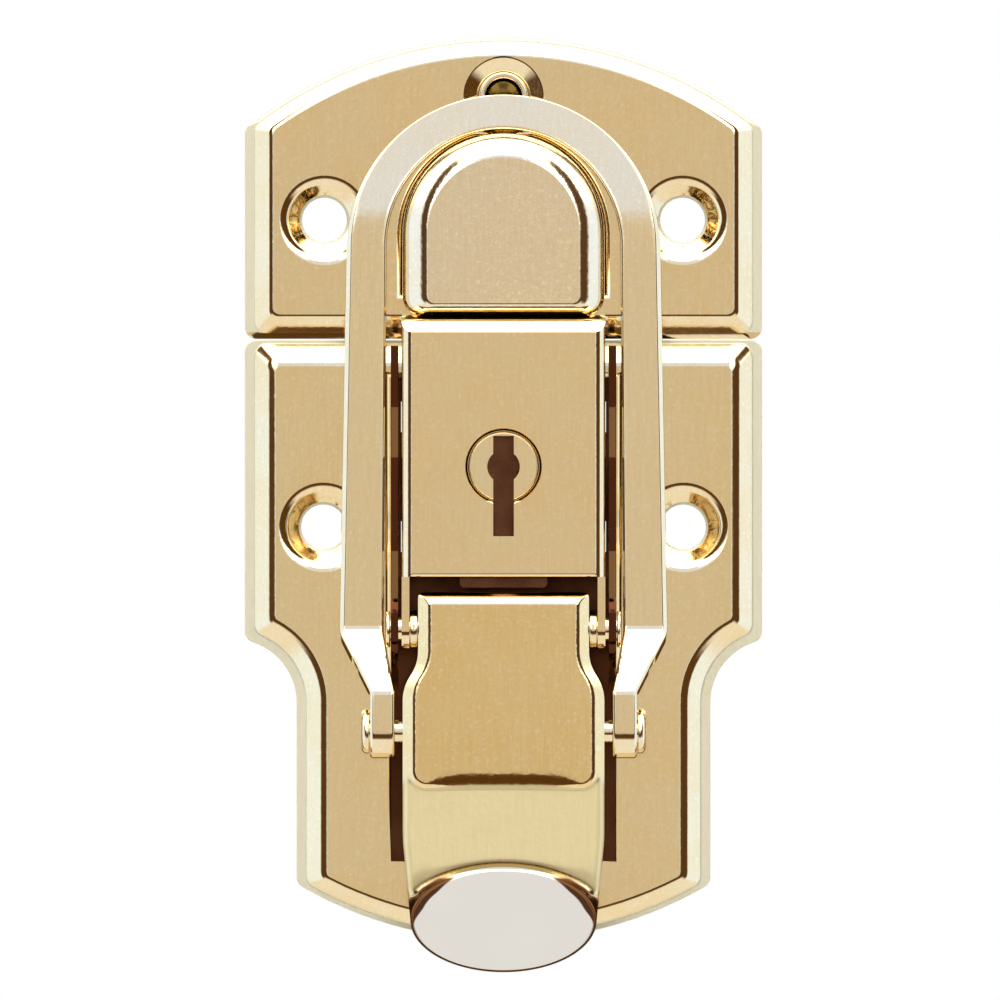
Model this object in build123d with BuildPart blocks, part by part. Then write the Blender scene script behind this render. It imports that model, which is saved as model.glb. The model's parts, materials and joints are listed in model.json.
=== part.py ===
from build123d import *
import os
from math import cos, radians, sin, sqrt

# A locking draw latch for the front of a trunk or case.
# Millimetres. X is to the right, Z is up and the viewer is on the -Y side.
# "Depth" below means the distance in front of the back of the plates, so depth = -Y.
# The origin is midway between the base plate's two side screw holes, in the back plane.

os.makedirs("parts", exist_ok=True)

# Stock and running clearances
sheet = 0.8
pin_clearance = 0.05
slide_clearance = 0.1
same_place = 0.01

# Both plates
plate_half_width = 27.0
plate_rise = 1.4
rim_side = 1.0
field_side = 2.6
corner_radius = 1.2
seam_gap = 0.15
screw_hole_radius = 2.35
dish_radius = 4.15
dish_floor_width = 0.2
dish_wall_high = 0.48
dish_wall_low = 0.4

# Base plate
base_top = 19.5
base_bottom = -43.2
base_bottom_arc = 42.0
tail_half_width = 21.6
scoop_radius = 6.6
scoop_height = -18.3
base_rim_top = 0.6
base_field_top = 2.1
base_rim_bottom = 0.6
base_field_bottom = 1.7
base_screw_x = 18.8
tail_screw_height = -28.5

# Strike plate
strike_top = 51.1
strike_top_arc = 42.9
strike_rim_top = 0.5
strike_field_top = 1.6
strike_rim_bottom = 0.6
strike_field_bottom = 2.0
strike_screw_x = 18.7
strike_screw_height = 32.05
hook_rivet_height = 44.9

# Hook: the drawn hood that the bail goes over
hook_top = 41.05
hook_bottom = 22.0
hook_depth = 9.0
hook_shoulder = 3.2
hook_lower_shoulder = 1.3
hook_foot = 1.5
hook_foot_bottom = 24.4
hook_tail_half_width = 4.2
hook_tail_end = 2.6

# Hook rivet
rivet_tube_radius = 2.1
rivet_tube_wall = 0.5
rivet_flare = 0.9
rivet_lip = 0.25
rivet_back_thickness = 0.4

# Lock case
case_half_width = 10.6
case_top = 21.7
case_bottom = -5.2
case_front = 10.2
case_edge_radius = 1.1
case_top_bevel = 1.4
case_foot_width = 3.0
case_foot_heights = (11.5, -1.0)

# Side walls lanced up from the base plate
wall_gap = 0.35
wall_front = 8.6
wall_top = 18.9
wall_horn_depth = 3.2
wall_notch_depth = 4.6
wall_notches = ((12.5, 7.3), (-2.5, -7.4))
wall_hub_front = 10.0
wall_hub_round = 1.6
window_top = 15.6
window_bottom = -17.0
slot_bottom = -34.9
slot_gap = 0.4

# Back plate
back_plate_lap = 1.25
back_plate_top = 16.9
back_plate_bottom = -36.4
back_screw_clearance = 0.9

# Keyhole and rotor
key_height = 6.3
rotor_radius = 3.7
rotor_recess = 0.2
rotor_flange_radius = 5.2
rotor_flange_back = 7.6
rotor_flange_thickness = 1.5
key_bore_radius = 1.7
key_slot_width = 2.15
key_slot_up = 3.2
key_slot_down = 7.25
keyhole_ring = 0.25
drive_pin_radius = 0.55
drive_pin_arm = 2.9
key_turn = 90.0

# Lock bolt and what carries it
bolt_half_width = 4.55
bolt_tip = -6.3
bolt_top = 12.5
bolt_throw = 1.3
bolt_front = 7.4
bolt_thickness = 1.5
bolt_tip_bevel = 0.3
mechanism_top = 20.0
mechanism_bottom = -4.4
mechanism_tab = 3.0
mechanism_tab_heights = (15.5, 1.5)
guide_width = 1.5
guide_top = 11.5
guide_bottom = -4.0
guide_rivet_radius = 0.5
guide_rivet_head = 1.0
guide_rivet_head_thickness = 0.4
guide_rivet_inset = 1.8

# Drag spring
spring_thickness = 0.3
spring_width = 1.1
spring_wall_gap = 3.1
spring_foot_length = 2.6
spring_reach = 4.0

# Lever
pivot_height = -10.65
pivot_depth = 8.0
lever_top = -6.8
neck_gap = 0.9
neck_bottom = -12.9
body_top = -18.1
body_bottom = -34.9
body_end = -37.8
body_end_taper = 1.0
lever_face = 10.2
lever_edge_radius = 1.05
lever_lip_back = 7.7
lever_hub_reach = 2.1
lever_flange_back = 1.75
lever_flange_top = -18.6
lever_flange_bottom = -33.2
panel_rise = 0.4
panel_inset = 0.95
panel_top_inset = 1.25
panel_bottom = -27.2
panel_corner = 1.3
panel_edge_radius = 0.32
lever_tail_drop = 1.0
tab_inset = 0.8
tab_top = -35.5
tab_bottom = -46.3
tab_front = 12.9
tab_thickness = 0.9

# Pins
pin_radius = 1.25
pivot_head_radius = 1.9
pivot_head_thickness = 0.4
washer_radius = 2.0
bail_head_radius = 2.3
bail_head_thickness = 0.8
bail_head_round = 0.55

# Bail
bail_pin_height = -21.3
bail_pin_depth = 6.3
bail_thickness = 1.5
bail_hook_gap = 0.45
arch_width = 3.6
arch_shoulder_width = 4.2
arch_draw_in = 0.3
leg_gap = 0.75
leg_width = 4.6
leg_bottom = -10.8
leg_front = 5.2
arch_front = 4.1
arch_bend_height = 33.0
tongue_gap = 1.0
tongue_width = 2.4
tongue_top = -17.1
ramp_middle_height = -15.2
ramp_middle_share = 0.79
ramp_back_drop = 0.45

# Sizes that follow from the ones above
field_front = sheet + plate_rise
field_back = plate_rise
strike_bottom = base_top + seam_gap
hole_radius = pin_radius + pin_clearance
wall_inner = case_half_width + wall_gap
wall_outer = wall_inner + sheet
case_inner = case_half_width - sheet
hook_half_width = case_half_width - slide_clearance
neck_half_width = case_inner - neck_gap
body_half_width = case_half_width - slide_clearance
body_end_half_width = body_half_width - body_end_taper
tab_half_width = body_half_width - tab_inset
slot_inner = body_half_width - sheet - slot_gap
back_plate_half_width = wall_outer + back_plate_lap
leg_inner = wall_outer + leg_gap
leg_outer = leg_inner + leg_width
tongue_inner = body_half_width + tongue_gap
tongue_outer = tongue_inner + tongue_width
bail_inner_radius = leg_inner - arch_draw_in
bail_outer_radius = bail_inner_radius + arch_shoulder_width
bail_inner_top = hook_top + bail_hook_gap
bail_outer_top = bail_inner_top + arch_width
bolt_back = bolt_front - bolt_thickness
mechanism_front = bolt_back - slide_clearance
mechanism_back = mechanism_front - sheet
guide_inner = bolt_half_width + slide_clearance
guide_outer = guide_inner + guide_width
eye_radius = hole_radius + bail_thickness
tongue_front = bail_pin_depth + eye_radius
rotor_flange_front = rotor_flange_back + rotor_flange_thickness


def front_plane(depth=0.0):
    """The plane at a depth, facing the viewer, with X to the right and Z up."""
    return Plane.XZ.offset(depth)


def side_plane(x):
    """The plane at x seen from the left: depth first, then height. It extrudes towards -X."""
    return Plane(origin=(x, 0, 0), x_dir=(0, -1, 0), z_dir=(-1, 0, 0))


def round_plane(x, z):
    """A plane through a round feature's own axis: radius first, then depth."""
    return Plane(origin=(x, 0, z), x_dir=(1, 0, 0), z_dir=(0, 0, -1))


def side_outline(points, x, round_corners=(), radius=0.0):
    """A face from (depth, height) points on the side plane at x, with some corners rounded."""
    with BuildSketch(side_plane(x)) as outline:
        with BuildLine():
            Polyline(*points, close=True)
        make_face()
        for corner in round_corners:
            fillet(outline.vertices().sort_by_distance(Vertex(*corner, 0))[0], radius)
    return outline.sketch


def on_both_sides(points, inner, outer, round_corners=(), radius=0.0, mode=Mode.ADD):
    """Stand the same side outline between two distances from the middle, left and right."""
    for x in (outer, -inner):
        extrude(side_outline(points, x, round_corners, radius), amount=outer - inner, mode=mode)


def across(radius, height, depth, outer, inner=0.0, mode=Mode.ADD):
    """A rod or a hole along X, on both sides of the middle from inner to outer."""
    for x in (outer, -inner):
        with BuildSketch(side_plane(x)) as circle:
            with Locations((depth, height)):
                Circle(radius)
        extrude(circle.sketch, amount=outer - inner, mode=mode)


def turned(points, x, z, mode=Mode.ADD):
    """Turn (radius, depth) points about the axis through (x, z) that points at the viewer."""
    with BuildSketch(round_plane(x, z)) as profile:
        with BuildLine():
            Polyline(*points, close=True)
        make_face()
    revolve(profile.sketch, axis=Axis((x, 0, z), (0, -1, 0)), mode=mode)


def block(x_low, x_high, z_low, z_high, d_low, d_high, mode=Mode.ADD):
    """A block between two widths, two heights and two depths."""
    with BuildSketch(front_plane(d_low)) as area:
        with Locations(((x_low + x_high) / 2, (z_low + z_high) / 2)):
            Rectangle(x_high - x_low, z_high - z_low)
    extrude(area.sketch, amount=d_high - d_low, mode=mode)


def base_outline(depth, side, top, bottom, corner):
    """The base plate's outline drawn in by side, top and bottom margins."""
    half = plate_half_width - side
    tail = tail_half_width - side
    scoop_x = tail_half_width + scoop_radius
    scoop = scoop_radius + side
    scoop_start = scoop_height + sqrt(scoop**2 - (scoop_x - half) ** 2)
    arc = base_bottom_arc - bottom
    arc_centre = base_bottom + base_bottom_arc
    tail_end = arc_centre - sqrt(arc**2 - tail**2)
    with BuildSketch(front_plane(depth)) as outline:
        with BuildLine():
            Polyline((0, base_top - top), (half, base_top - top), (half, scoop_start))
            RadiusArc((half, scoop_start), (tail, scoop_height), -scoop)
            Line((tail, scoop_height), (tail, tail_end))
            RadiusArc((tail, tail_end), (0, arc_centre - arc), arc)
            mirror(about=Plane.YZ)
        make_face()
        outer = [v for v in outline.vertices() if abs(v.X) > tail / 2]
        fillet([v for v in outer if abs(v.Y - scoop_height) > same_place], corner)
    return outline.sketch


def strike_outline(depth, side, top, bottom, corner):
    """The strike plate's outline drawn in by side, top and bottom margins."""
    half = plate_half_width - side
    arc = strike_top_arc - top
    arc_centre = strike_top - strike_top_arc
    shoulder = arc_centre + sqrt(arc**2 - half**2)
    low = strike_bottom + bottom
    with BuildSketch(front_plane(depth)) as outline:
        with BuildLine():
            Polyline((0, low), (half, low), (half, shoulder))
            RadiusArc((half, shoulder), (0, arc_centre + arc), -arc)
            mirror(about=Plane.YZ)
        make_face()
        fillet([v for v in outline.vertices() if abs(v.X) > half / 2], corner)
    return outline.sketch


def pressed_plate(outline, rims, fields):
    """A plate with a flat rim and a raised field, pressed from one sheet."""
    lean = [(field - rim) / plate_rise for rim, field in zip(rims, fields)]
    shift = [sheet * sqrt(1 + slope**2) for slope in lean]
    hollow_rim = [rim - slope * sheet + move for rim, slope, move in zip(rims, lean, shift)]
    hollow_field = [low + slope * plate_rise for low, slope in zip(hollow_rim, lean)]
    extrude(outline(0, 0, 0, 0, corner_radius), amount=sheet)
    loft([outline(sheet, *rims, corner_radius), outline(field_front, *fields, corner_radius)], ruled=True)
    hollow = [outline(0, *hollow_rim, corner_radius), outline(field_back, *hollow_field, corner_radius)]
    loft(hollow, ruled=True, mode=Mode.SUBTRACT)


def dished_hole(x, z):
    """A screw hole whose rim is pressed back to the mounting surface."""
    floor = screw_hole_radius + dish_floor_width
    outer = dish_radius + dish_wall_high
    turned([(0, 0), (outer, 0), (outer, field_front), (0, field_front)], x, z, mode=Mode.SUBTRACT)
    section = [
        (outer, field_front),
        (dish_radius, field_front),
        (floor, sheet),
        (screw_hole_radius, sheet),
        (screw_hole_radius, 0),
        (floor + dish_wall_low, 0),
        (outer, field_back),
    ]
    turned(section, x, z)


def drilled(radius, x, z):
    """A round hole straight through the plates."""
    turned([(0, 0), (radius, 0), (radius, field_front), (0, field_front)], x, z, mode=Mode.SUBTRACT)


def hook_face(depth, bottom, grow=0.0):
    """The hood's outline: straight sides under a half circle, above a given height."""
    centre = hook_top - hook_half_width
    radius = hook_half_width + grow
    with BuildSketch(front_plane(depth)) as outline:
        with BuildLine():
            Polyline((-radius, centre), (-radius, bottom), (radius, bottom), (radius, centre))
            ThreePointArc((radius, centre), (0, centre + radius), (-radius, centre))
        make_face()
    return outline.sketch


def round_hood(hood, inset):
    """Round the hood's front edges: wide over the top and sides, tighter along the bottom."""
    front_edges = hood.faces().sort_by(Axis.Y)[0].edges()
    lowest = front_edges.sort_by(Axis.Z)[0]
    fillet([edge for edge in front_edges if edge is not lowest], hook_shoulder - inset)
    lowest = hood.faces().sort_by(Axis.Y)[0].edges().sort_by(Axis.Z)[0]
    fillet(lowest, hook_lower_shoulder - inset)


# Strike plate
with BuildPart() as strike_plate:
    pressed_plate(
        strike_outline,
        (rim_side, strike_rim_top, strike_rim_bottom),
        (field_side, strike_field_top, strike_field_bottom),
    )
    for side in (-1, 1):
        dished_hole(side * strike_screw_x, strike_screw_height)
    extrude(hook_face(0, hook_foot_bottom, pin_clearance), amount=field_front, mode=Mode.SUBTRACT)
    rivet_hole = rivet_tube_radius + pin_clearance
    turned(
        [(0, 0), (rivet_hole, 0), (rivet_hole, field_back), (dish_radius, field_front), (0, field_front)],
        0,
        hook_rivet_height,
        mode=Mode.SUBTRACT,
    )

# Hook with its foot and tail behind the plate
foot_back = field_back - sheet
with BuildPart() as strike_hook:
    extrude(hook_face(field_front, hook_bottom), amount=hook_depth - field_front)
    round_hood(strike_hook, 0)
    extrude(hook_face(foot_back, hook_foot_bottom), amount=field_front - foot_back)
    extrude(hook_face(foot_back, hook_foot_bottom, hook_foot), amount=sheet)
    block(
        -hook_tail_half_width,
        hook_tail_half_width,
        hook_top,
        hook_rivet_height + hook_tail_end,
        foot_back,
        field_back,
    )
    with BuildPart(mode=Mode.PRIVATE) as hood_hollow:
        extrude(hook_face(0, hook_bottom + sheet, -sheet), amount=hook_depth - sheet)
        round_hood(hood_hollow, sheet)
    add(hood_hollow.part, mode=Mode.SUBTRACT)
    drilled(rivet_hole, 0, hook_rivet_height)

# Tubular rivet whose mouth is rolled out in the dish
flare_slope = (dish_radius - rivet_hole) / sheet
flare_drop = rivet_flare / flare_slope
flare_start = field_back + 2 * pin_clearance
with BuildPart() as hook_rivet:
    bore = rivet_tube_radius - rivet_tube_wall
    head_back = foot_back - rivet_back_thickness
    turned(
        [
            (0, head_back),
            (rivet_tube_radius + rivet_flare, head_back),
            (rivet_tube_radius + rivet_flare, foot_back),
            (rivet_tube_radius, foot_back),
            (rivet_tube_radius, flare_start),
            (rivet_tube_radius + rivet_flare, flare_start + flare_drop),
            (rivet_tube_radius + rivet_flare, flare_start + flare_drop + rivet_lip),
            (bore, flare_start + rivet_lip),
            (bore, foot_back),
            (0, foot_back),
        ],
        0,
        hook_rivet_height,
    )

# Base plate with its side walls
first_notch, second_notch = wall_notches
wall_points = [
    (field_back, window_top),
    (wall_horn_depth, window_top),
    (wall_horn_depth, wall_top),
    (wall_front, wall_top),
    (wall_front, first_notch[0]),
    (wall_notch_depth, first_notch[0]),
    (wall_notch_depth, first_notch[1]),
    (wall_front, first_notch[1]),
    (wall_front, second_notch[0]),
    (wall_notch_depth, second_notch[0]),
    (wall_notch_depth, second_notch[1]),
    (wall_hub_front, second_notch[1]),
    (wall_hub_front, pivot_height - (wall_hub_front - pivot_depth)),
    (wall_horn_depth, window_bottom),
    (field_back, window_bottom),
]
with BuildPart() as base_plate:
    pressed_plate(
        base_outline,
        (rim_side, base_rim_top, base_rim_bottom),
        (field_side, base_field_top, base_field_bottom),
    )
    for side in (-1, 1):
        dished_hole(side * base_screw_x, 0)
    dished_hole(0, tail_screw_height)
    block(-wall_inner, wall_inner, window_bottom, window_top, 0, field_front, mode=Mode.SUBTRACT)
    for low, high in ((slot_inner, wall_outer), (-wall_outer, -slot_inner)):
        block(low, high, slot_bottom, window_bottom, 0, field_front, mode=Mode.SUBTRACT)
    on_both_sides(wall_points, wall_inner, wall_outer, wall_points[11:13], wall_hub_round)
    across(hole_radius, pivot_height, pivot_depth, wall_outer, wall_inner, mode=Mode.SUBTRACT)

# Back plate, spot welded behind the base plate
foot_slot = slide_clearance
with BuildPart() as back_plate:
    block(
        -back_plate_half_width,
        back_plate_half_width,
        back_plate_bottom,
        back_plate_top,
        field_back - sheet,
        field_back,
    )
    fillet(back_plate.edges().filter_by(Axis.Y), corner_radius)
    drilled(dish_radius + back_screw_clearance, 0, tail_screw_height)
    for height in case_foot_heights:
        for side in (-1, 1):
            middle = side * (case_half_width - sheet / 2)
            block(
                middle - sheet / 2 - foot_slot,
                middle + sheet / 2 + foot_slot,
                height - case_foot_width / 2 - foot_slot,
                height + case_foot_width / 2 + foot_slot,
                0,
                field_back,
                mode=Mode.SUBTRACT,
            )

# Lock case
key_centre = (0, key_height)
case_ear_radius = case_front - pivot_depth - slide_clearance
with BuildPart() as lock_case:
    block(-case_half_width, case_half_width, case_bottom, case_top, field_back, case_front)
    front_edges = lock_case.faces().sort_by(Axis.Y)[0].edges()
    chamfer(front_edges.sort_by(Axis.Z)[-1], case_top_bevel)
    long_edges = lock_case.faces().sort_by(Axis.Y)[0].edges().filter_by(Axis.Z)
    fillet(long_edges, case_edge_radius)
    inner_front = case_front - sheet
    with BuildPart(mode=Mode.PRIVATE) as case_hollow:
        block(-case_inner, case_inner, case_bottom - sheet, case_top - sheet, 0, inner_front)
        hollow_edges = case_hollow.faces().sort_by(Axis.Y)[0].edges()
        chamfer(hollow_edges.sort_by(Axis.Z)[-1], case_top_bevel - sheet / 2)
    add(case_hollow.part, mode=Mode.SUBTRACT)
    # Above the base plate's window the walls stop in front of both plates.
    block(
        -case_half_width,
        case_half_width,
        window_top - slide_clearance,
        case_top,
        0,
        field_front + slide_clearance,
        mode=Mode.SUBTRACT,
    )
    ear = [
        (pivot_depth - case_ear_radius, case_bottom),
        (pivot_depth - case_ear_radius, pivot_height - case_ear_radius),
        (pivot_depth + case_ear_radius, pivot_height - case_ear_radius),
        (pivot_depth + case_ear_radius, case_bottom),
    ]
    on_both_sides(ear, case_inner, case_half_width, ear[1:3], case_ear_radius - pin_clearance)
    across(hole_radius, pivot_height, pivot_depth, case_half_width, case_inner, mode=Mode.SUBTRACT)
    for height in case_foot_heights:
        foot = [
            (foot_back - slide_clearance, height - case_foot_width / 2),
            (field_back, height - case_foot_width / 2),
            (field_back, height + case_foot_width / 2),
            (foot_back - slide_clearance, height + case_foot_width / 2),
        ]
        on_both_sides(foot, case_inner, case_half_width)
    for height in mechanism_tab_heights:
        half_tab = mechanism_tab / 2 + slide_clearance
        window = [
            (mechanism_back - slide_clearance, height - half_tab),
            (mechanism_front + slide_clearance, height - half_tab),
            (mechanism_front + slide_clearance, height + half_tab),
            (mechanism_back - slide_clearance, height + half_tab),
        ]
        on_both_sides(window, case_inner, case_half_width, mode=Mode.SUBTRACT)
    with BuildSketch(front_plane(inner_front)) as keyhole:
        with Locations(key_centre):
            Circle(rotor_radius + pin_clearance)
        with Locations((0, key_height - key_slot_down / 2)):
            Rectangle(key_slot_width, key_slot_down)
    extrude(amount=sheet, mode=Mode.SUBTRACT)
    ring = rotor_radius + pin_clearance
    turned(
        [
            (ring, case_front - keyhole_ring),
            (ring + keyhole_ring, case_front),
            (0, case_front),
            (0, case_front - keyhole_ring),
        ],
        0,
        key_height,
        mode=Mode.SUBTRACT,
    )

# Key rotor: disc, flange and drive pin, with the keyway through it
pin_angle = radians(key_turn / 2)
with BuildPart() as key_rotor:
    for radius, back, front in (
        (rotor_radius, rotor_flange_front, case_front - rotor_recess),
        (rotor_flange_radius, rotor_flange_back, rotor_flange_front),
    ):
        with BuildSketch(front_plane(back)):
            with Locations(key_centre):
                Circle(radius)
        extrude(amount=front - back)
    chamfer(key_rotor.faces().sort_by(Axis.Y)[0].edges(), keyhole_ring)
    with BuildSketch(front_plane(rotor_flange_back)):
        with Locations(key_centre):
            Circle(key_bore_radius)
        with Locations((0, key_height + (key_slot_up - rotor_flange_radius) / 2)):
            Rectangle(key_slot_width, key_slot_up + rotor_flange_radius)
    extrude(amount=case_front - rotor_flange_back, mode=Mode.SUBTRACT)
    with BuildSketch(front_plane(bolt_back)):
        with Locations((drive_pin_arm * cos(pin_angle), key_height + drive_pin_arm * sin(pin_angle))):
            Circle(drive_pin_radius)
    extrude(amount=rotor_flange_back - bolt_back + slide_clearance)

# Lock bolt, with the curved slot that the drive pin works in
throw_rate = bolt_throw / radians(key_turn)


def slot_point(angle):
    """Where the drive pin stands in the bolt, once it has turned to an angle above level."""
    sunk = throw_rate * (pin_angle - angle)
    return drive_pin_arm * cos(angle), key_height + drive_pin_arm * sin(angle) + sunk


with BuildPart() as lock_bolt:
    block(-bolt_half_width, bolt_half_width, bolt_tip, bolt_top, bolt_back, bolt_front)
    chamfer(lock_bolt.edges().filter_by(Axis.Y).group_by(Axis.Z)[0], bolt_tip_bevel)
    with BuildLine(mode=Mode.PRIVATE) as slot_path:
        ThreePointArc(slot_point(pin_angle), slot_point(0), slot_point(-pin_angle))
    with BuildSketch(front_plane(bolt_back)):
        SlotArc(slot_path.edge(), 2 * (drive_pin_radius + slide_clearance))
    extrude(amount=bolt_thickness, mode=Mode.SUBTRACT)

# Mechanism plate, held by tabs in the case's side walls
with BuildPart() as mechanism_plate:
    plate_edge = case_inner - slide_clearance
    block(-plate_edge, plate_edge, mechanism_bottom, mechanism_top, mechanism_back, mechanism_front)
    for height in mechanism_tab_heights:
        block(
            -case_half_width,
            case_half_width,
            height - mechanism_tab / 2,
            height + mechanism_tab / 2,
            mechanism_back,
            mechanism_front,
        )
    guide_middle = (guide_inner + guide_outer) / 2
    rivet_heights = (guide_top - guide_rivet_inset, guide_bottom + guide_rivet_inset)
    rivet_spots = [(side * guide_middle, height) for side in (-1, 1) for height in rivet_heights]
    spring_x = case_inner - spring_wall_gap
    spring_rivet_x = spring_x + spring_thickness + spring_foot_length / 2
    spring_root = guide_top + spring_reach
    for x, z in rivet_spots + [(spring_rivet_x, spring_root)]:
        with BuildSketch(front_plane(mechanism_back)):
            with Locations((x, z)):
                Circle(guide_rivet_radius + pin_clearance)
        extrude(amount=sheet, mode=Mode.SUBTRACT)

# Guide rails on both sides of the bolt
with BuildPart() as bolt_guides:
    for side in (-1, 1):
        low, high = sorted((side * guide_inner, side * guide_outer))
        block(low, high, guide_bottom, guide_top, mechanism_front, bolt_front)
    with BuildSketch(front_plane(mechanism_front)):
        with Locations(*rivet_spots):
            Circle(guide_rivet_radius + pin_clearance)
    extrude(amount=bolt_front - mechanism_front, mode=Mode.SUBTRACT)


def rivet(x, z, front):
    """A small rivet from behind the mechanism plate to a given depth, headed at the back."""
    head_back = mechanism_back - guide_rivet_head_thickness
    turned(
        [
            (0, head_back),
            (guide_rivet_head, head_back),
            (guide_rivet_head, mechanism_back),
            (guide_rivet_radius, mechanism_back),
            (guide_rivet_radius, front),
            (0, front),
        ],
        x,
        z,
    )


with BuildPart() as guide_rivets:
    for x, z in rivet_spots:
        rivet(x, z, bolt_front)

# Drag spring: a foot on the mechanism plate and a blade that bears on the rotor's flange
spring_bump = spring_x - rotor_flange_radius - pin_clearance
blade_back = rotor_flange_back + slide_clearance
with BuildPart() as drag_spring:
    block(
        spring_x,
        spring_x + spring_thickness + spring_foot_length,
        spring_root - spring_foot_length / 2,
        spring_root + spring_foot_length / 2,
        mechanism_front,
        mechanism_front + spring_thickness,
    )
    block(
        spring_x,
        spring_x + spring_thickness,
        spring_root - spring_foot_length / 2,
        spring_root + spring_foot_length / 2,
        mechanism_front,
        blade_back + spring_width,
    )
    with BuildSketch(front_plane(blade_back)):
        with BuildLine():
            Polyline(
                (spring_x + spring_thickness, spring_root),
                (spring_x, spring_root),
                (spring_x, key_height + spring_bump),
                (spring_x - spring_bump, key_height),
                (spring_x, key_height - spring_bump),
                (spring_x, key_height - spring_reach),
                (spring_x + spring_thickness, key_height - spring_reach),
                (spring_x + spring_thickness, key_height - spring_bump),
                (spring_x + spring_thickness - spring_bump, key_height),
                (spring_x + spring_thickness, key_height + spring_bump),
                close=True,
            )
        make_face()
    extrude(amount=spring_width)
    with BuildSketch(front_plane(mechanism_front)):
        with Locations((spring_rivet_x, spring_root)):
            Circle(guide_rivet_radius + pin_clearance)
    extrude(amount=spring_thickness, mode=Mode.SUBTRACT)

with BuildPart() as spring_rivet:
    rivet(spring_rivet_x, spring_root, mechanism_front + spring_thickness)


# Lever
def lever_outline(depth, inset=0.0, top_inset=0.0, low_inset=0.0):
    """The lever's front outline without its tab: neck, flare and body."""
    neck = neck_half_width - inset
    body = body_half_width - inset
    end = body_end_half_width - inset
    high = lever_top - top_inset
    low = body_end + low_inset
    middle = ((neck + body) / 2, (neck_bottom + body_top) / 2)
    with BuildSketch(front_plane(depth)) as outline:
        with BuildLine():
            Polyline((0, high), (neck, high), (neck, neck_bottom))
            flare = TangentArc((neck, neck_bottom), middle, tangent=(0, -1))
            TangentArc(middle, (body, body_top), tangent=flare % 1)
            Polyline((body, body_top), (body, body_bottom), (end, low), (0, low))
            mirror(about=Plane.YZ)
        make_face()
    return outline.sketch


hub_back = pivot_depth - lever_hub_reach
beyond_tab = 2 * tab_front
lever_side = [
    (lever_lip_back, lever_top + sheet),
    (lever_lip_back, lever_top - sheet),
    (hub_back, pivot_height + lever_hub_reach),
    (hub_back, pivot_height - lever_hub_reach),
    (lever_flange_back, lever_flange_top),
    (lever_flange_back, lever_flange_bottom),
    (lever_face - 4 * sheet, tab_top - lever_tail_drop),
    (lever_face - sheet, body_end),
    (beyond_tab, body_end),
    (beyond_tab, lever_top + sheet),
]
tab_middle = (tab_top + tab_bottom) / 2
tab_side = [
    (lever_face - sheet, tab_top + 2 * sheet),
    (lever_face, tab_top),
    (tab_front, tab_bottom - sheet),
    (tab_front - tab_thickness, tab_bottom - sheet),
    (lever_face - sheet, tab_top - 2 * sheet),
]
with BuildPart() as lever:
    extrude(lever_outline(lever_flange_back), amount=lever_face - lever_flange_back)
    outer_face = lever.faces().sort_by(Axis.Y)[0]
    fillet(outer_face.edges().filter_by(lambda edge: edge.center().Z > body_bottom), lever_edge_radius)
    with BuildPart(mode=Mode.PRIVATE) as channel:
        extrude(lever_outline(0, sheet, sheet, -2 * sheet), amount=lever_face - sheet)
    add(channel.part, mode=Mode.SUBTRACT)
    extrude(side_outline(lever_side, 2 * body_half_width), amount=4 * body_half_width, mode=Mode.INTERSECT)
    with BuildPart(mode=Mode.PRIVATE) as panel:
        raised = lever_outline(lever_face - panel_rise, panel_inset, panel_top_inset)
        extrude(raised, amount=2 * panel_rise)
        half = body_half_width
        block(-half, half, tab_bottom, panel_bottom, 0, beyond_tab, mode=Mode.SUBTRACT)
        fillet(panel.edges().filter_by(Axis.Y).group_by(Axis.Z)[0], panel_corner)
        fillet(panel.faces().sort_by(Axis.Y)[0].edges(), panel_edge_radius)
    add(panel.part)
    with BuildPart(mode=Mode.PRIVATE) as tab:
        with BuildSketch(front_plane(lever_face - sheet)):
            with Locations((0, tab_middle)):
                Ellipse(tab_half_width, (tab_top - tab_bottom) / 2)
        extrude(amount=2 * (tab_front - lever_face) + sheet)
        tab_edge = side_outline(tab_side, 2 * body_half_width)
        extrude(tab_edge, amount=4 * body_half_width, mode=Mode.INTERSECT)
    add(tab.part)
    across(hole_radius, pivot_height, pivot_depth, body_half_width + sheet, mode=Mode.SUBTRACT)
    across(hole_radius, bail_pin_height, bail_pin_depth, body_half_width + sheet, mode=Mode.SUBTRACT)

# Lever pin with its two thin heads, and the spacer washers beside the lever's neck
with BuildPart() as lever_pin:
    pivot_head_inner = wall_outer + pin_clearance
    across(pin_radius, pivot_height, pivot_depth, pivot_head_inner)
    across(
        pivot_head_radius,
        pivot_height,
        pivot_depth,
        pivot_head_inner + pivot_head_thickness,
        pivot_head_inner,
    )

with BuildPart() as pivot_washers:
    washer_inner = neck_half_width + pin_clearance
    washer_outer = case_inner - pin_clearance
    across(washer_radius, pivot_height, pivot_depth, washer_outer, washer_inner)
    across(hole_radius, pivot_height, pivot_depth, washer_outer, washer_inner, mode=Mode.SUBTRACT)

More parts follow.
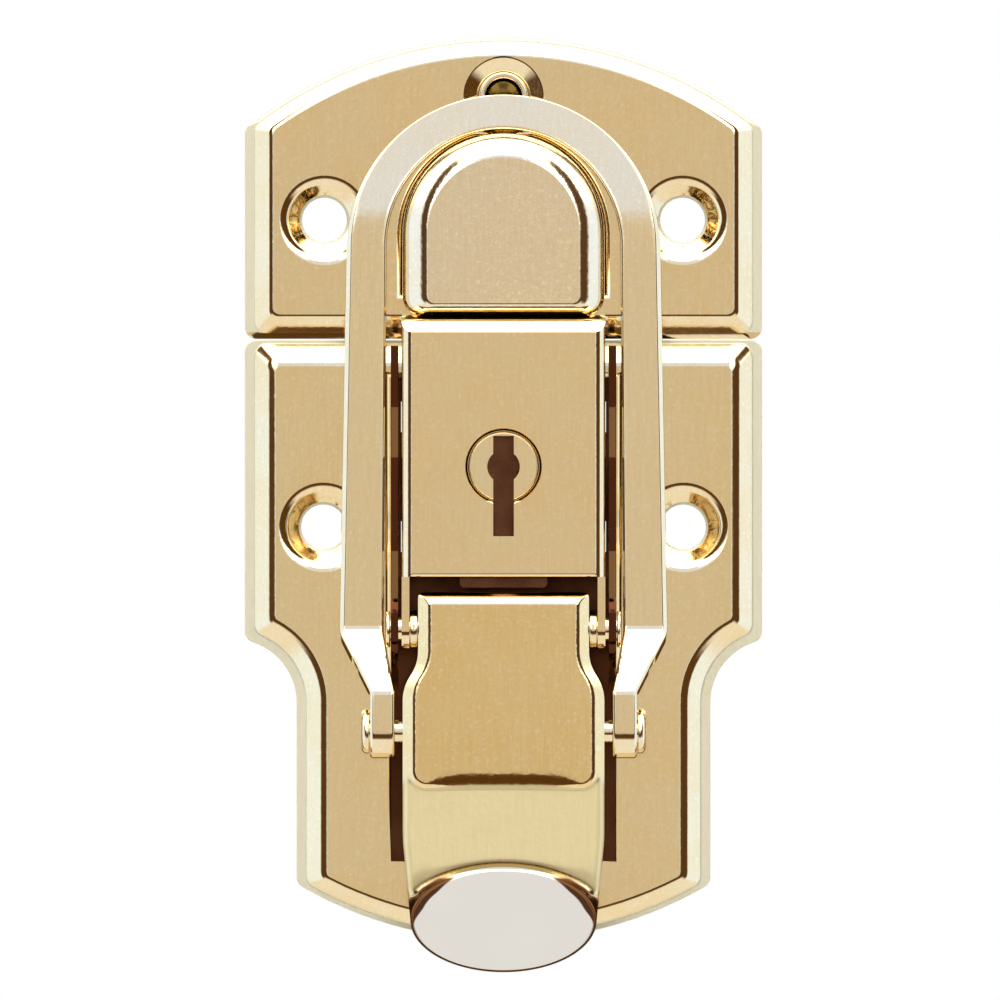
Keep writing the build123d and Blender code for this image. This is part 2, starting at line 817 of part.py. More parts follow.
# Bail: a flat arch whose legs climb to two eyes
leg_back = leg_front - bail_thickness
arch_back = arch_front - bail_thickness
ramp_middle = leg_front + ramp_middle_share * (tongue_front - leg_front)
bail_side = [
    (arch_back, bail_outer_top + bail_thickness),
    (arch_back, bail_outer_top),
    (leg_back, arch_bend_height),
    (leg_back, leg_bottom),
    (ramp_middle - bail_thickness, ramp_middle_height - ramp_back_drop),
    (tongue_front - bail_thickness, tongue_top - ramp_back_drop),
    (tongue_front - bail_thickness, bail_pin_height),
    (tongue_front, bail_pin_height),
    (tongue_front, tongue_top),
    (ramp_middle, ramp_middle_height),
    (leg_front, leg_bottom),
    (leg_front, arch_bend_height),
    (arch_front, bail_outer_top),
    (arch_front, bail_outer_top + bail_thickness),
]
with BuildPart() as bail:
    inner_centre = bail_inner_top - bail_inner_radius
    outer_centre = bail_outer_top - bail_outer_radius
    tongue_end = bail_pin_height - 2 * eye_radius
    with BuildSketch(front_plane(0)) as strip:
        with BuildLine():
            Polyline(
                (bail_inner_radius, inner_centre),
                (leg_inner, leg_bottom),
                (tongue_inner, tongue_top),
                (tongue_inner, tongue_end),
                (tongue_outer, tongue_end),
                (tongue_outer, tongue_top),
                (leg_outer, leg_bottom),
                (bail_outer_radius, outer_centre),
            )
            RadiusArc((bail_outer_radius, outer_centre), (0, bail_outer_top), -bail_outer_radius)
            RadiusArc((bail_inner_radius, inner_centre), (0, bail_inner_top), -bail_inner_radius)
            Line((0, bail_inner_top), (0, bail_outer_top))
        make_face()
        elbow = strip.vertices().sort_by_distance(Vertex(leg_outer, leg_bottom, 0))[0]
        fillet(elbow, bail_thickness)
        mirror(about=Plane.YZ)
    extrude(amount=2 * tongue_front)
    with BuildSketch(side_plane(2 * leg_outer)) as bends:
        with BuildLine():
            Polyline(*bail_side, close=True)
        make_face()
        with Locations((bail_pin_depth, bail_pin_height)):
            Circle(eye_radius)
    extrude(amount=4 * leg_outer, mode=Mode.INTERSECT)
    across(hole_radius, bail_pin_height, bail_pin_depth, leg_outer, mode=Mode.SUBTRACT)

# Bail pin with a head beyond each eye
with BuildPart() as bail_pin:
    bail_head_inner = tongue_outer + slide_clearance
    across(pin_radius, bail_pin_height, bail_pin_depth, bail_head_inner)
    across(
        bail_head_radius,
        bail_pin_height,
        bail_pin_depth,
        bail_head_inner + bail_head_thickness,
        bail_head_inner,
    )
    for end in (0, -1):
        outer_face = bail_pin.faces().sort_by(Axis.X)[end]
        fillet(outer_face.edges(), bail_head_round)

pieces = {
    "strike_plate": strike_plate,
    "strike_hook": strike_hook,
    "hook_rivet": hook_rivet,
    "base_plate": base_plate,
    "back_plate": back_plate,
    "lock_case": lock_case,
    "key_rotor": key_rotor,
    "lock_bolt": lock_bolt,
    "mechanism_plate": mechanism_plate,
    "bolt_guides": bolt_guides,
    "guide_rivets": guide_rivets,
    "drag_spring": drag_spring,
    "spring_rivet": spring_rivet,
    "lever": lever,
    "lever_pin": lever_pin,
    "pivot_washers": pivot_washers,
    "bail": bail,
    "bail_pin": bail_pin,
}
for name, piece in pieces.items():
    piece.part.label = name
    export_step(piece.part, f"parts/{name}.step")
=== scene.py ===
"""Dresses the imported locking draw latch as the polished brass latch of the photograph.

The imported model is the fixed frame. Pressed plates, the hood's foot and the lock case are copies
of its nodes with their bends rolled. The lever, the bail, the eyelet and the hood's shell are
lofted and spun anew around its pins, and every other node gets its finish where it stands.
Lengths are in metres. X is to the right, Z is up and the viewer is on the -Y side. "Depth" is
the distance in front of the back of the plates, so depth = -Y.
"""

import json
import logging
from dataclasses import dataclass
from enum import Enum
from math import cos, degrees, exp, hypot, pi, radians, sin, sqrt, tan
from typing import Callable, Sequence

import bmesh
import bpy
from mathutils import Matrix, Vector


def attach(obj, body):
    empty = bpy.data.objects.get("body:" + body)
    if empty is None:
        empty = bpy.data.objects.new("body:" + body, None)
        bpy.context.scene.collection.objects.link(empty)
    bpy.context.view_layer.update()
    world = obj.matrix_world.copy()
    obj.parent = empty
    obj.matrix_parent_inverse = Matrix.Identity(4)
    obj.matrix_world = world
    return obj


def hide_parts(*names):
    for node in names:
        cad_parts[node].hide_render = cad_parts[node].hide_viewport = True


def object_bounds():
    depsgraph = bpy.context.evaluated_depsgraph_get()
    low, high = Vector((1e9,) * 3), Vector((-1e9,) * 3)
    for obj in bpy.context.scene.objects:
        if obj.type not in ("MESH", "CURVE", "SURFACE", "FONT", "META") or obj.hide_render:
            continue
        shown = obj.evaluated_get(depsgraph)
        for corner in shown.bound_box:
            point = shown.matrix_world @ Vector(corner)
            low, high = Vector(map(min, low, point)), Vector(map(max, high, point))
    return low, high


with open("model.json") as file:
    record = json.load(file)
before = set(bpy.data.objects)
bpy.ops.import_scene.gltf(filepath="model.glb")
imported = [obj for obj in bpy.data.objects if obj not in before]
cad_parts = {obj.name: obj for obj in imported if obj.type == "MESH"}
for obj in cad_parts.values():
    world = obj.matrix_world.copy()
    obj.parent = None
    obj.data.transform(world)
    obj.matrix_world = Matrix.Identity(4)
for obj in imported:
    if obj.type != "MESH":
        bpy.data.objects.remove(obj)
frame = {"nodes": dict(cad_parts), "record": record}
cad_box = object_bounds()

MM = 0.001
SAME_PLACE = 1e-6
FLAT_ANGLE = 0.6
ROLLED_ANGLE = 20.0
BENT_ANGLE = 25.0
CUT_ANGLE = 70.0
log = logging.getLogger("draw_latch")

Colour = tuple[float, float, float]
Span = tuple[float, float]
Band = tuple[float, float, float, float]
Mesh = bmesh.types.BMesh
Edge = bmesh.types.BMEdge
Socket = bpy.types.NodeSocket


class Body(Enum):
    """The moving bodies that the dressed pieces ride on."""

    BASE = "base"
    LEVER = "lever"
    BAIL = "bail"
    KEY_ROTOR = "key_rotor"


class Slot(Enum):
    """The record's material slots, by name, as listed with the dressed pieces."""

    SHEET = "plated_sheet"
    STRIP = "plated_strip"
    TRIM = "plated_trim"


class NodeSheet:
    """Adds shader nodes to a tree and wires them up."""

    def __init__(self, tree: bpy.types.NodeTree) -> None:
        """Take over the node tree of a material or a world and empty it."""
        self.tree = tree
        tree.nodes.clear()

    def add(
        self, kind: str, settings: dict | None = None, numbered: dict | None = None, **inputs: object
    ) -> bpy.types.Node:
        """Add one node.

        Args:
            kind: The node's type without its ShaderNode prefix.
            settings: Properties of the node itself.
            numbered: Values or sockets for its inputs, by number.
            inputs: Values or sockets for its inputs, by name with _ for a space.

        Returns:
            The new node.
        """
        node = self.tree.nodes.new("ShaderNode" + kind)
        for name, value in (settings or {}).items():
            setattr(node, name, value)
        for place, value in (numbered or {}).items():
            self.set(node.inputs[place], value)
        for name, value in inputs.items():
            self.set(node.inputs[name.replace("_", " ")], value)
        return node

    def set(self, socket: Socket, value: object) -> None:
        """Fill an input.

        Args:
            socket: The input.
            value: Its value, or the socket that feeds it.
        """
        if isinstance(value, Socket):
            self.tree.links.new(value, socket)
        elif socket.type == "RGBA":
            socket.default_value = (*value, 1.0)
        else:
            socket.default_value = value

    def maths(self, operation: str, *values: object) -> Socket:
        """Work out a number from one or more numbers or sockets."""
        return self.add("Math", {"operation": operation}, dict(enumerate(values))).outputs[0]

    def rise(self, value: Socket, low: float, high: float) -> Socket:
        """Go smoothly from 0 at low to 1 at high."""
        node = self.add("MapRange", {"interpolation_type": "SMOOTHSTEP"}, Value=value, From_Min=low, From_Max=high)
        return node.outputs["Result"]

    def between(self, value: Socket, steps: Band) -> Socket:
        """Rise from 0 to 1 over the first two steps and fall back over the last two."""
        fall = self.rise(value, steps[3], steps[2])
        return self.maths("MULTIPLY", self.rise(value, steps[0], steps[1]), fall)

    def ramp(self, value: Socket, ends: Band) -> Socket:
        """Go straight from the third number to the fourth while a value goes from the first to the second."""
        limits = zip(("From_Min", "From_Max", "To_Min", "To_Max"), ends)
        return self.add("MapRange", Value=value, **dict(limits)).outputs["Result"]

    def blend(self, share: object, first: object, second: object) -> Socket:
        """Blend two numbers by a share from 0 to 1."""
        return self.add("Mix", {"data_type": "FLOAT"}, {0: share, 2: first, 3: second}).outputs[0]

    def mix(self, share: object, first: object, second: object) -> Socket:
        """Blend two colours by a share from 0 to 1."""
        return self.add("Mix", {"data_type": "RGBA"}, {0: share, 6: first, 7: second}).outputs[2]

    def noise(self, place: Socket, scale: float, detail: float, roughness: float = 0.5) -> Socket:
        """Read a cloudy pattern, whose numbers lie round a half."""
        return self.add("TexNoise", Vector=place, Scale=scale, Detail=detail, Roughness=roughness).outputs["Fac"]


@dataclass(frozen=True)
class Satin:
    """Where a pressing keeps its dull skin: behind a depth and below a height, but for one band."""

    colour: Colour
    depth: float
    roughness: float = 0.56
    height: float = 1.0
    fade: float = 0.04 * MM
    edge: float = 0.04 * MM
    polished_from: float = 2.0
    polished_to: float = 3.0

    def share(self, sheet: NodeSheet, y: Socket, z: Socket) -> Socket:
        """Say how satin each place is.

        Args:
            sheet: The material's nodes.
            y: The place's Y.
            z: The place's height.

        Returns:
            The share, from 0 to 1.
        """
        behind = sheet.rise(y, -self.depth - self.edge, -self.depth + self.edge)
        below = sheet.rise(z, self.height + self.fade, self.height - self.fade)
        over = sheet.rise(z, self.polished_from - self.edge, self.polished_from + self.edge)
        under = sheet.rise(z, self.polished_to + self.edge, self.polished_to - self.edge)
        band = sheet.maths("SUBTRACT", 1.0, sheet.maths("MULTIPLY", over, under))
        return sheet.maths("MULTIPLY", sheet.maths("MULTIPLY", behind, below), band)


@dataclass(frozen=True)
class ThumbOval:
    """The thumb tab's clean polished face, with a dark line of painted shade round its sheared edge.

    A reach is measured against the oval: 0 is its middle and 1 its edge.
    """

    height: float
    half_width: float
    half_height: float
    colour: Colour = (0.92, 0.78, 0.52)
    face_reach: Span = (1.1, 1.0)
    satin_reach: Span = (1.06, 1.22)
    calm: float = 0.9
    # painted shade: the dark line round the tab's edge and the wedges at its upper sides
    shade_line_colour: Colour = (0.09, 0.035, 0.012)
    shade_line_reach: float = 0.955
    shade_line_fade: float = 0.02
    shade_line_end: Span = (1.12, 1.04)
    shade_line_top: float = -36.2 * MM
    shade_line_top_fade: float = 0.5 * MM
    shade_wedge_reach: float = 0.075
    shade_wedge_start: Span = (-0.6 * MM, 1.4 * MM)
    shade_wedge_end: float = 2 * MM
    # painted shade in the crease above the tab
    crease_shade_colour: Colour = (0.52, 0.33, 0.09)
    crease_shade_reach: Band = (1.005, 1.03, 1.08, 1.13)
    crease_shade_fade: float = 1.2 * MM

    def reach(self, sheet: NodeSheet, place: Socket) -> Socket:
        """Measure each place against the oval.

        Args:
            sheet: The material's nodes.
            place: The place.

        Returns:
            Its reach.
        """
        scale = (1 / self.half_width, 0.0, 1 / self.half_height)
        middle = (0.0, 0.0, -self.height / self.half_height)
        oval = sheet.add("Mapping", Vector=place, Scale=scale, Location=middle)
        return sheet.add("VectorMath", {"operation": "LENGTH"}, {0: oval.outputs[0]}).outputs["Value"]

    def line(self, sheet: NodeSheet, reach: Socket, z: Socket) -> Socket:
        """Lay the dark line of painted shade, which widens to a wedge of painted shade at each upper side.

        Args:
            sheet: The material's nodes.
            reach: The place's reach.
            z: The place's height.

        Returns:
            The line's share of the place, from 0 to 1.
        """
        low, high = (self.height + step for step in self.shade_wedge_start)
        wedge = sheet.between(z, (low, high, self.shade_line_top - self.shade_wedge_end, self.shade_line_top))
        start = sheet.maths("MULTIPLY_ADD", wedge, -self.shade_wedge_reach, self.shade_line_reach)
        past = sheet.maths("SUBTRACT", reach, start)
        line = sheet.maths("MULTIPLY", sheet.rise(past, 0.0, self.shade_line_fade), sheet.rise(reach, *self.shade_line_end))
        return sheet.maths("MULTIPLY", line, sheet.rise(z, self.shade_line_top, self.shade_line_top - self.shade_line_top_fade))

    def crease(self, sheet: NodeSheet, reach: Socket, z: Socket) -> Socket:
        """Lay the golden-brown painted shade in the crease above the oval."""
        over = sheet.rise(z, self.shade_line_top - self.crease_shade_fade, self.shade_line_top)
        return sheet.maths("MULTIPLY", sheet.between(reach, self.crease_shade_reach), over)


@dataclass(frozen=True)
class Plating:
    """Metal with faint clouds, an uneven pressed skin, fine brush marks and tiny pale flecks.

    A satin part of the skin is duller and paler. What stands further forward than the wall shade
    depth takes painted shade, darkest towards its cut edge, as on the walls lanced out of the base
    plate, and what lies behind the recess shade depth is darkened with painted shade.
    """

    name: str
    colour: Colour
    cloud_colour: Colour
    roughness: float
    cloud_scale: float = 140.0
    cloud_span: Span = (0.38, 0.66)
    cloud_share: float = 0.9
    cloud_roughness: float = 0.03
    peel_scale: float = 1500.0
    peel_depth: float = 0.02
    peel_height: float = 0.3 * MM
    brush_across: float = 4200.0
    brush_along: float = 260.0
    brush_depth: float = 0.03
    brush_height: float = 0.05 * MM
    brush_tone: float = 0.10
    brush_roughness: float = 0.05
    grain_scale: float = 5200.0
    grain_tone: float = 0.10
    fleck_colour: Colour = (0.97, 0.86, 0.64)
    fleck_scale: float = 2100.0
    fleck_span: Span = (0.54, 0.68)
    fleck_share: float = 0.4
    satin: Satin | None = None
    oval: ThumbOval | None = None
    recess_shade_depth: float = 0.0
    recess_shade_fade: float = 0.3 * MM
    recess_shade_colour: Colour = (0.12, 0.08, 0.025)
    wall_shade_depth: float = 0.0
    wall_shade_colour: Colour = (0.26, 0.13, 0.05)
    wall_edge_shade_depth: float = 7.9 * MM
    wall_edge_shade_fade: float = 0.4 * MM
    wall_edge_shade_colour: Colour = (0.10, 0.03, 0.012)

    def depth_tint(self, sheet: NodeSheet, tint: Socket, depth: Socket) -> Socket:
        """Lay painted shade on what is recessed and on what stands forward.

        Args:
            sheet: The material's nodes.
            tint: The colour so far.
            depth: The place's depth.

        Returns:
            The new colour.
        """
        recess, standing, cut = self.recess_shade_depth, self.wall_shade_depth, self.wall_edge_shade_depth
        # painted shade in recesses, such as down the eyelet's bore
        if recess:
            tint = sheet.mix(sheet.rise(depth, recess + self.recess_shade_fade, recess), tint, self.recess_shade_colour)
        # painted shade on the walls lanced out of the base plate, darkest at their front edge
        if standing:
            tint = sheet.mix(sheet.rise(depth, standing, 2 * standing), tint, self.wall_shade_colour)
            tint = sheet.mix(sheet.rise(depth, cut, cut + self.wall_edge_shade_fade), tint, self.wall_edge_shade_colour)
        return tint

    def dress(self, sheet: NodeSheet) -> None:
        """Lay out the finish's nodes on Object coordinates.

        Args:
            sheet: The material's empty nodes.
        """
        place = sheet.add("TexCoord").outputs["Object"]
        _, y, z = sheet.add("SeparateXYZ", Vector=place).outputs
        stretch = sheet.add("Mapping", Vector=place, Scale=(self.brush_across, self.brush_across, self.brush_along))
        brush = sheet.noise(stretch.outputs[0], 1.0, 3.0, 0.55)
        grain = sheet.noise(place, self.grain_scale, 2.0)
        cloud = sheet.rise(sheet.noise(place, self.cloud_scale, 4.0, 0.6), *self.cloud_span)
        fleck = sheet.rise(sheet.noise(place, self.fleck_scale, 3.0, 0.6), *self.fleck_span)
        tint = sheet.mix(sheet.maths("MULTIPLY", cloud, self.cloud_share), self.colour, self.cloud_colour)
        tint = sheet.mix(sheet.maths("MULTIPLY", fleck, self.fleck_share), tint, self.fleck_colour)
        rough = sheet.maths("MULTIPLY_ADD", cloud, self.cloud_roughness, self.roughness)
        brushed = sheet.maths("MULTIPLY_ADD", brush, self.brush_roughness, -self.brush_roughness / 2)
        rough = sheet.maths("ADD", rough, brushed)
        reach = self.oval.reach(sheet, place) if self.oval else None
        if self.satin:
            dull = self.satin.share(sheet, y, z)
            if reach:
                dull = sheet.maths("MULTIPLY", dull, sheet.rise(reach, *self.oval.satin_reach))
            tint = sheet.mix(dull, tint, self.satin.colour)
            rough = sheet.blend(dull, rough, self.satin.roughness)
        tint = self.depth_tint(sheet, tint, sheet.maths("MULTIPLY", y, -1.0))
        tone = sheet.maths("MULTIPLY_ADD", brush, self.brush_tone, 1.0 - self.brush_tone / 2)
        tone = sheet.maths("ADD", tone, sheet.maths("MULTIPLY_ADD", grain, self.grain_tone, -self.grain_tone / 2))
        tint = sheet.add("HueSaturation", Color=tint, Value=tone).outputs[0]
        depths = self.peel_depth, self.brush_depth
        if reach:
            inside = sheet.rise(reach, *self.oval.face_reach)
            for share, colour in (
                (inside, self.oval.colour),
                # painted shade in the crease above the tab
                (self.oval.crease(sheet, reach, z), self.oval.crease_shade_colour),
                # painted shade: the dark line round the tab's edge
                (self.oval.line(sheet, reach, z), self.oval.shade_line_colour),
            ):
                tint = sheet.mix(share, tint, colour)
            calm = sheet.maths("MULTIPLY_ADD", inside, -self.oval.calm, 1.0)
            depths = [sheet.maths("MULTIPLY", calm, depth) for depth in depths]
        peel = sheet.noise(place, self.peel_scale, 2.0)
        skin = sheet.add("Bump", Strength=depths[0], Distance=self.peel_height, Height=peel).outputs[0]
        marks = sheet.add("Bump", Strength=depths[1], Distance=self.brush_height, Height=brush, Normal=skin)
        shader = sheet.add(
            "BsdfPrincipled", Base_Color=tint, Metallic=1.0, Roughness=rough, Normal=marks.outputs[0]
        )
        sheet.add("OutputMaterial", Surface=shader.outputs[0])

    def material(self) -> bpy.types.Material:
        """Find or make the finish's material.

        Returns:
            The material, one for each finish.
        """
        found = bpy.data.materials.get(self.name)
        if found:
            return found
        material = bpy.data.materials.new(self.name)
        material.use_nodes = True
        self.dress(NodeSheet(material.node_tree))
        return material


PRESSED_RIM = Satin((0.85, 0.78, 0.52), 0.86 * MM, polished_from=19.5 * MM, polished_to=20.35 * MM)
PRESSED_BODY = Satin((0.87, 0.72, 0.37), 10.36 * MM, height=-26.2 * MM, fade=1.0 * MM)
THUMB_OVAL = ThumbOval(-40.9 * MM, 9.7 * MM, 5.4 * MM)
STRIKE_BRASS = Plating("polished_strike_brass", (0.93, 0.75, 0.44), (0.92, 0.70, 0.365), 0.08, satin=PRESSED_RIM)
# The base plate's lanced walls take painted shade, darkest at their front edges.
BASE_BRASS = Plating(
    "polished_base_brass",
    (0.93, 0.76, 0.45),
    (0.92, 0.71, 0.375),
    0.08,
    satin=PRESSED_RIM,
    wall_shade_depth=2.45 * MM,
)
HOOD_BRASS = Plating(
    "polished_hood_brass", (0.93, 0.78, 0.53), (0.92, 0.74, 0.455), 0.11, peel_depth=0.05, fleck_share=0.75
)
CASE_BRASS = Plating("polished_case_brass", (0.93, 0.75, 0.44), (0.92, 0.71, 0.38), 0.08)
LEVER_BRASS = Plating(
    "polished_lever_brass",
    (0.92, 0.70, 0.34),
    (0.90, 0.655, 0.29),
    0.09,
    peel_depth=0.05,
    brush_tone=0.13,
    satin=PRESSED_BODY,
    oval=THUMB_OVAL,
)
STRIP_BRASS = Plating("polished_strip_brass", (0.93, 0.77, 0.48), (0.92, 0.74, 0.43), 0.10)
TRIM_BRASS = Plating("polished_trim_brass", (0.93, 0.77, 0.47), (0.92, 0.73, 0.41), 0.10)
# The eyelet's bore is darkened with painted shade.
EYELET_BRASS = Plating(
    "polished_eyelet_brass", (0.93, 0.77, 0.47), (0.92, 0.73, 0.41), 0.10, recess_shade_depth=1.5 * MM
)
# Inner steel: bare steel is darker than the plating, and its deep maroon colour is painted shade for the slots and gaps
# it shows through.
INNER_STEEL_SHADED = Plating(
    "inner_steel_painted_shade", (0.10, 0.036, 0.014), (0.07, 0.022, 0.008), 0.34, fleck_share=0.0, brush_depth=0.1
)
# The bolt's dark maroon colour is painted shade for the gap below the case it sits in; its chamfers still glint.
BOLT_STEEL_SHADED = Plating("bolt_steel_painted_shade", (0.14, 0.055, 0.025), (0.09, 0.03, 0.012), 0.25, fleck_share=0.0)
BLUED_STEEL = Plating("blued_spring_steel", (0.15, 0.17, 0.23), (0.11, 0.11, 0.15), 0.22, fleck_share=0.0)


def smooth_min(first: float, second: float, reach: float) -> float:
    """Take the lower of two heights, rounded where they cross within a reach."""
    share = max(reach - abs(first - second), 0.0) / reach
    return min(first, second) - share * share * reach / 4.0


def smooth_max(first: float, second: float, reach: float) -> float:
    """Take the higher of two heights, rounded where they cross within a reach."""
    return -smooth_min(-first, -second, reach)


def round_drop(past: float, radius: float, steepest: float = 89.0, shallowest: float = 0.0) -> float:
    """Say how far a rounded edge has dropped.

    Args:
        past: How far past the start of the rounding, along the flat.
        radius: The rounding's radius.
        steepest: The slope in degrees at which the rounding goes on as a straight line.
        shallowest: The slope in degrees at which it starts.

    Returns:
        The drop, 0 before the rounding starts.
    """
    if past <= 0:
        return 0.0
    skipped = radius * sin(radians(shallowest))
    along = min(past + skipped, radius * sin(radians(steepest)))
    drop = radius * cos(radians(shallowest)) - sqrt(radius**2 - along**2)
    return drop + (past + skipped - along) * tan(radians(steepest))


def follow(line: Sequence[Vector], height: float) -> float:
    """Read a line of falling heights.

    Args:
        line: Points whose second coordinate is a height.
        height: Where to read it.

    Returns:
        The line's first coordinate there.
    """
    for start, end in zip(line, line[1:]):
        if height >= end[1]:
            share = (start[1] - height) / (start[1] - end[1]) if start[1] > end[1] else 1.0
            return start[0] + max(share, 0.0) * (end[0] - start[0])
    return line[-1][0]


def rounded_line(
    corners: Sequence[tuple[float, float, float]], segments: int = 4, closed: bool = False
) -> list[Vector]:
    """Run a flat line through corners, each rounded by an arc of its own.

    Args:
        corners: Each corner's two coordinates and its radius, 0 for a sharp one.
        segments: Straight pieces in each arc.
        closed: Whether the line returns to its first corner.

    Returns:
        The line's points in order.
    """
    line = []
    for place, (across, along, radius) in enumerate(corners):
        here = Vector((across, along))
        if radius <= 0 or (not closed and place in (0, len(corners) - 1)):
            line.append(here)
            continue
        back = (Vector(corners[place - 1][:2]) - here).normalized()
        ahead = (Vector(corners[(place + 1) % len(corners)][:2]) - here).normalized()
        half = back.angle(ahead) / 2
        centre = here + (back + ahead).normalized() * radius / sin(half)
        spoke = here + back * radius / tan(half) - centre
        turn = (pi - 2 * half) * (1 if back.cross(ahead) < 0 else -1)
        line += [centre + Matrix.Rotation(turn * step / segments, 2) @ spoke for step in range(segments + 1)]
    return line


def lofted(sections: Sequence[Sequence[Vector]]) -> Mesh:
    """Stretch a skin over closed sections and cap its two ends.

    Args:
        sections: Loops of points, all with the same number.

    Returns:
        The closed skin, facing outwards.
    """
    rows = len(sections) - 1
    columns = len(sections[0])
    bm = bmesh.new()
    bmesh.ops.create_grid(bm, x_segments=columns, y_segments=rows, size=1.0)
    for vertex in bm.verts:
        column = round((vertex.co.x + 1.0) / 2.0 * columns)
        row = round((vertex.co.y + 1.0) / 2.0 * rows)
        vertex.co = sections[row][column % columns]
    bmesh.ops.remove_doubles(bm, verts=bm.verts[:], dist=SAME_PLACE)
    close_ends(bm)
    bmesh.ops.recalc_face_normals(bm, faces=bm.faces[:])
    return bm


def close_ends(bm: Mesh) -> None:
    """Cap a mesh's open ends."""
    bmesh.ops.holes_fill(bm, edges=[edge for edge in bm.edges if edge.is_boundary], sides=0)


def cut(bm: Mesh, at: Sequence[float], normal: Sequence[float], clear: bool = False) -> None:
    """Cut a mesh along a plane, and on request clear what lies past it."""
    geom = bm.verts[:] + bm.edges[:] + bm.faces[:]
    bmesh.ops.bisect_plane(bm, geom=geom, plane_co=at, plane_no=normal, clear_outer=clear)


def spun(profile: Sequence[Vector], x: float, z: float, steps: int = 64) -> Mesh:
    """Spin a line of (radius, depth) points about an axis that points at the viewer.

    Args:
        profile: The line, from the axis outwards and back.
        x: The axis's place across.
        z: The axis's height.
        steps: Faces round the axis.

    Returns:
        The closed shape, facing outwards.
    """
    bm = bmesh.new()
    points = [bm.verts.new((x + radius, -depth, z)) for radius, depth in profile]
    lines = [bm.edges.new(pair) for pair in zip(points, points[1:])]
    bmesh.ops.spin(
        bm,
        geom=points + lines,
        cent=(x, 0.0, z),
        axis=(0.0, -1.0, 0.0),
        angle=2 * pi,
        steps=steps,
        use_merge=True,
    )
    bmesh.ops.remove_doubles(bm, verts=bm.verts[:], dist=SAME_PLACE)
    bmesh.ops.recalc_face_normals(bm, faces=bm.faces[:])
    return bm


def merged_copy(node: str) -> Mesh:
    """Copy a node's mesh with its loose triangles merged and its flat faces made whole.

    Args:
        node: The CAD node's name.

    Returns:
        The copy as a new bmesh.
    """
    bm = bmesh.new()
    bm.from_mesh(frame["nodes"][node].data)
    bmesh.ops.remove_doubles(bm, verts=bm.verts[:], dist=SAME_PLACE)
    bmesh.ops.dissolve_limit(bm, angle_limit=radians(FLAT_ANGLE), verts=bm.verts[:], edges=bm.edges[:])
    return bm


def roll_edges(
    bm: Mesh, width: float, segments: int, chosen: Callable[[Edge, float], bool], clamped: bool = True
) -> None:
    """Round some of a mesh's edges.

    Args:
        bm: The mesh, changed in place.
        width: How far the rounding reaches from the edge.
        segments: Faces across the rounding.
        chosen: Says from an edge and the angle in degrees between its faces if it is rounded.
        clamped: Whether the rounding stops short where a neighbouring edge is in its way.
    """
    edges = []
    for edge in bm.edges:
        angle = degrees(edge.calc_face_angle(0.0)) if len(edge.link_faces) == 2 else 0.0
        if angle > ROLLED_ANGLE and chosen(edge, angle):
            edges.append(edge)
    if edges:
        bmesh.ops.bevel(
            bm,
            geom=edges,
            offset=width,
            offset_type="OFFSET",
            segments=segments,
            profile=0.5,
            affect="EDGES",
            clamp_overlap=clamped,
            material=-1,
        )
    log.info("rolled %d edges by %.2f mm", len(edges), width / MM)


def at_depth(edge: Edge, depth: float) -> bool:
    """Say whether an edge lies at a depth."""
    return all(abs(-vertex.co.y - depth) < 0.03 * MM for vertex in edge.verts)


def at_height(edge: Edge, height: float) -> bool:
    """Say whether an edge lies at a height."""
    return all(abs(vertex.co.z - height) < 0.02 * MM for vertex in edge.verts)


def joint_place(name: str) -> Span:
    """Read a joint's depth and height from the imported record."""
    joint = next(j for j in frame["record"]["behaviour"]["joints"] if j["name"] == name)
    return -joint["pos_m"][1], joint["pos_m"][2]


@dataclass
class Piece:
    """One piece of the latch: what it stands for, what it rides on and its finish."""

    name: str
    body: Body
    node: str
    slot: Slot
    finish: Plating
    sharp_angle: float = 50.0

    def place(self, bm: Mesh) -> bpy.types.Object:
        """Turn a mesh into a finished object that rides on its body.

        Args:
            bm: The piece's mesh, which is used up.

        Returns:
            The object.
        """
        for edge in bm.edges:
            if len(edge.link_faces) == 2 and edge.calc_face_angle(0.0) > radians(self.sharp_angle):
                edge.smooth = False
        mesh = bpy.data.meshes.new(self.name)
        bm.to_mesh(mesh)
        bm.free()
        for polygon in mesh.polygons:
            polygon.use_smooth = True
        piece = bpy.data.objects.new(self.name, mesh)
        bpy.context.scene.collection.objects.link(piece)
        mesh.materials.append(self.finish.material())
        normals = piece.modifiers.new("even_shading", "WEIGHTED_NORMAL")
        normals.keep_sharp = True
        normals.weight = 50
        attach(piece, self.body.value)
        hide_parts(self.node)
        log.info("%s: %d faces", self.name, len(mesh.polygons))
        return piece


def keep_node(node: str, finish: Plating) -> None:
    """Give a CAD node that stays as it is its finish.

    Args:
        node: The node's name.
        finish: Its finish.
    """
    held = frame["nodes"][node]
    held.data.materials.clear()
    held.data.materials.append(finish.material())
    log.info("%s: kept", node)


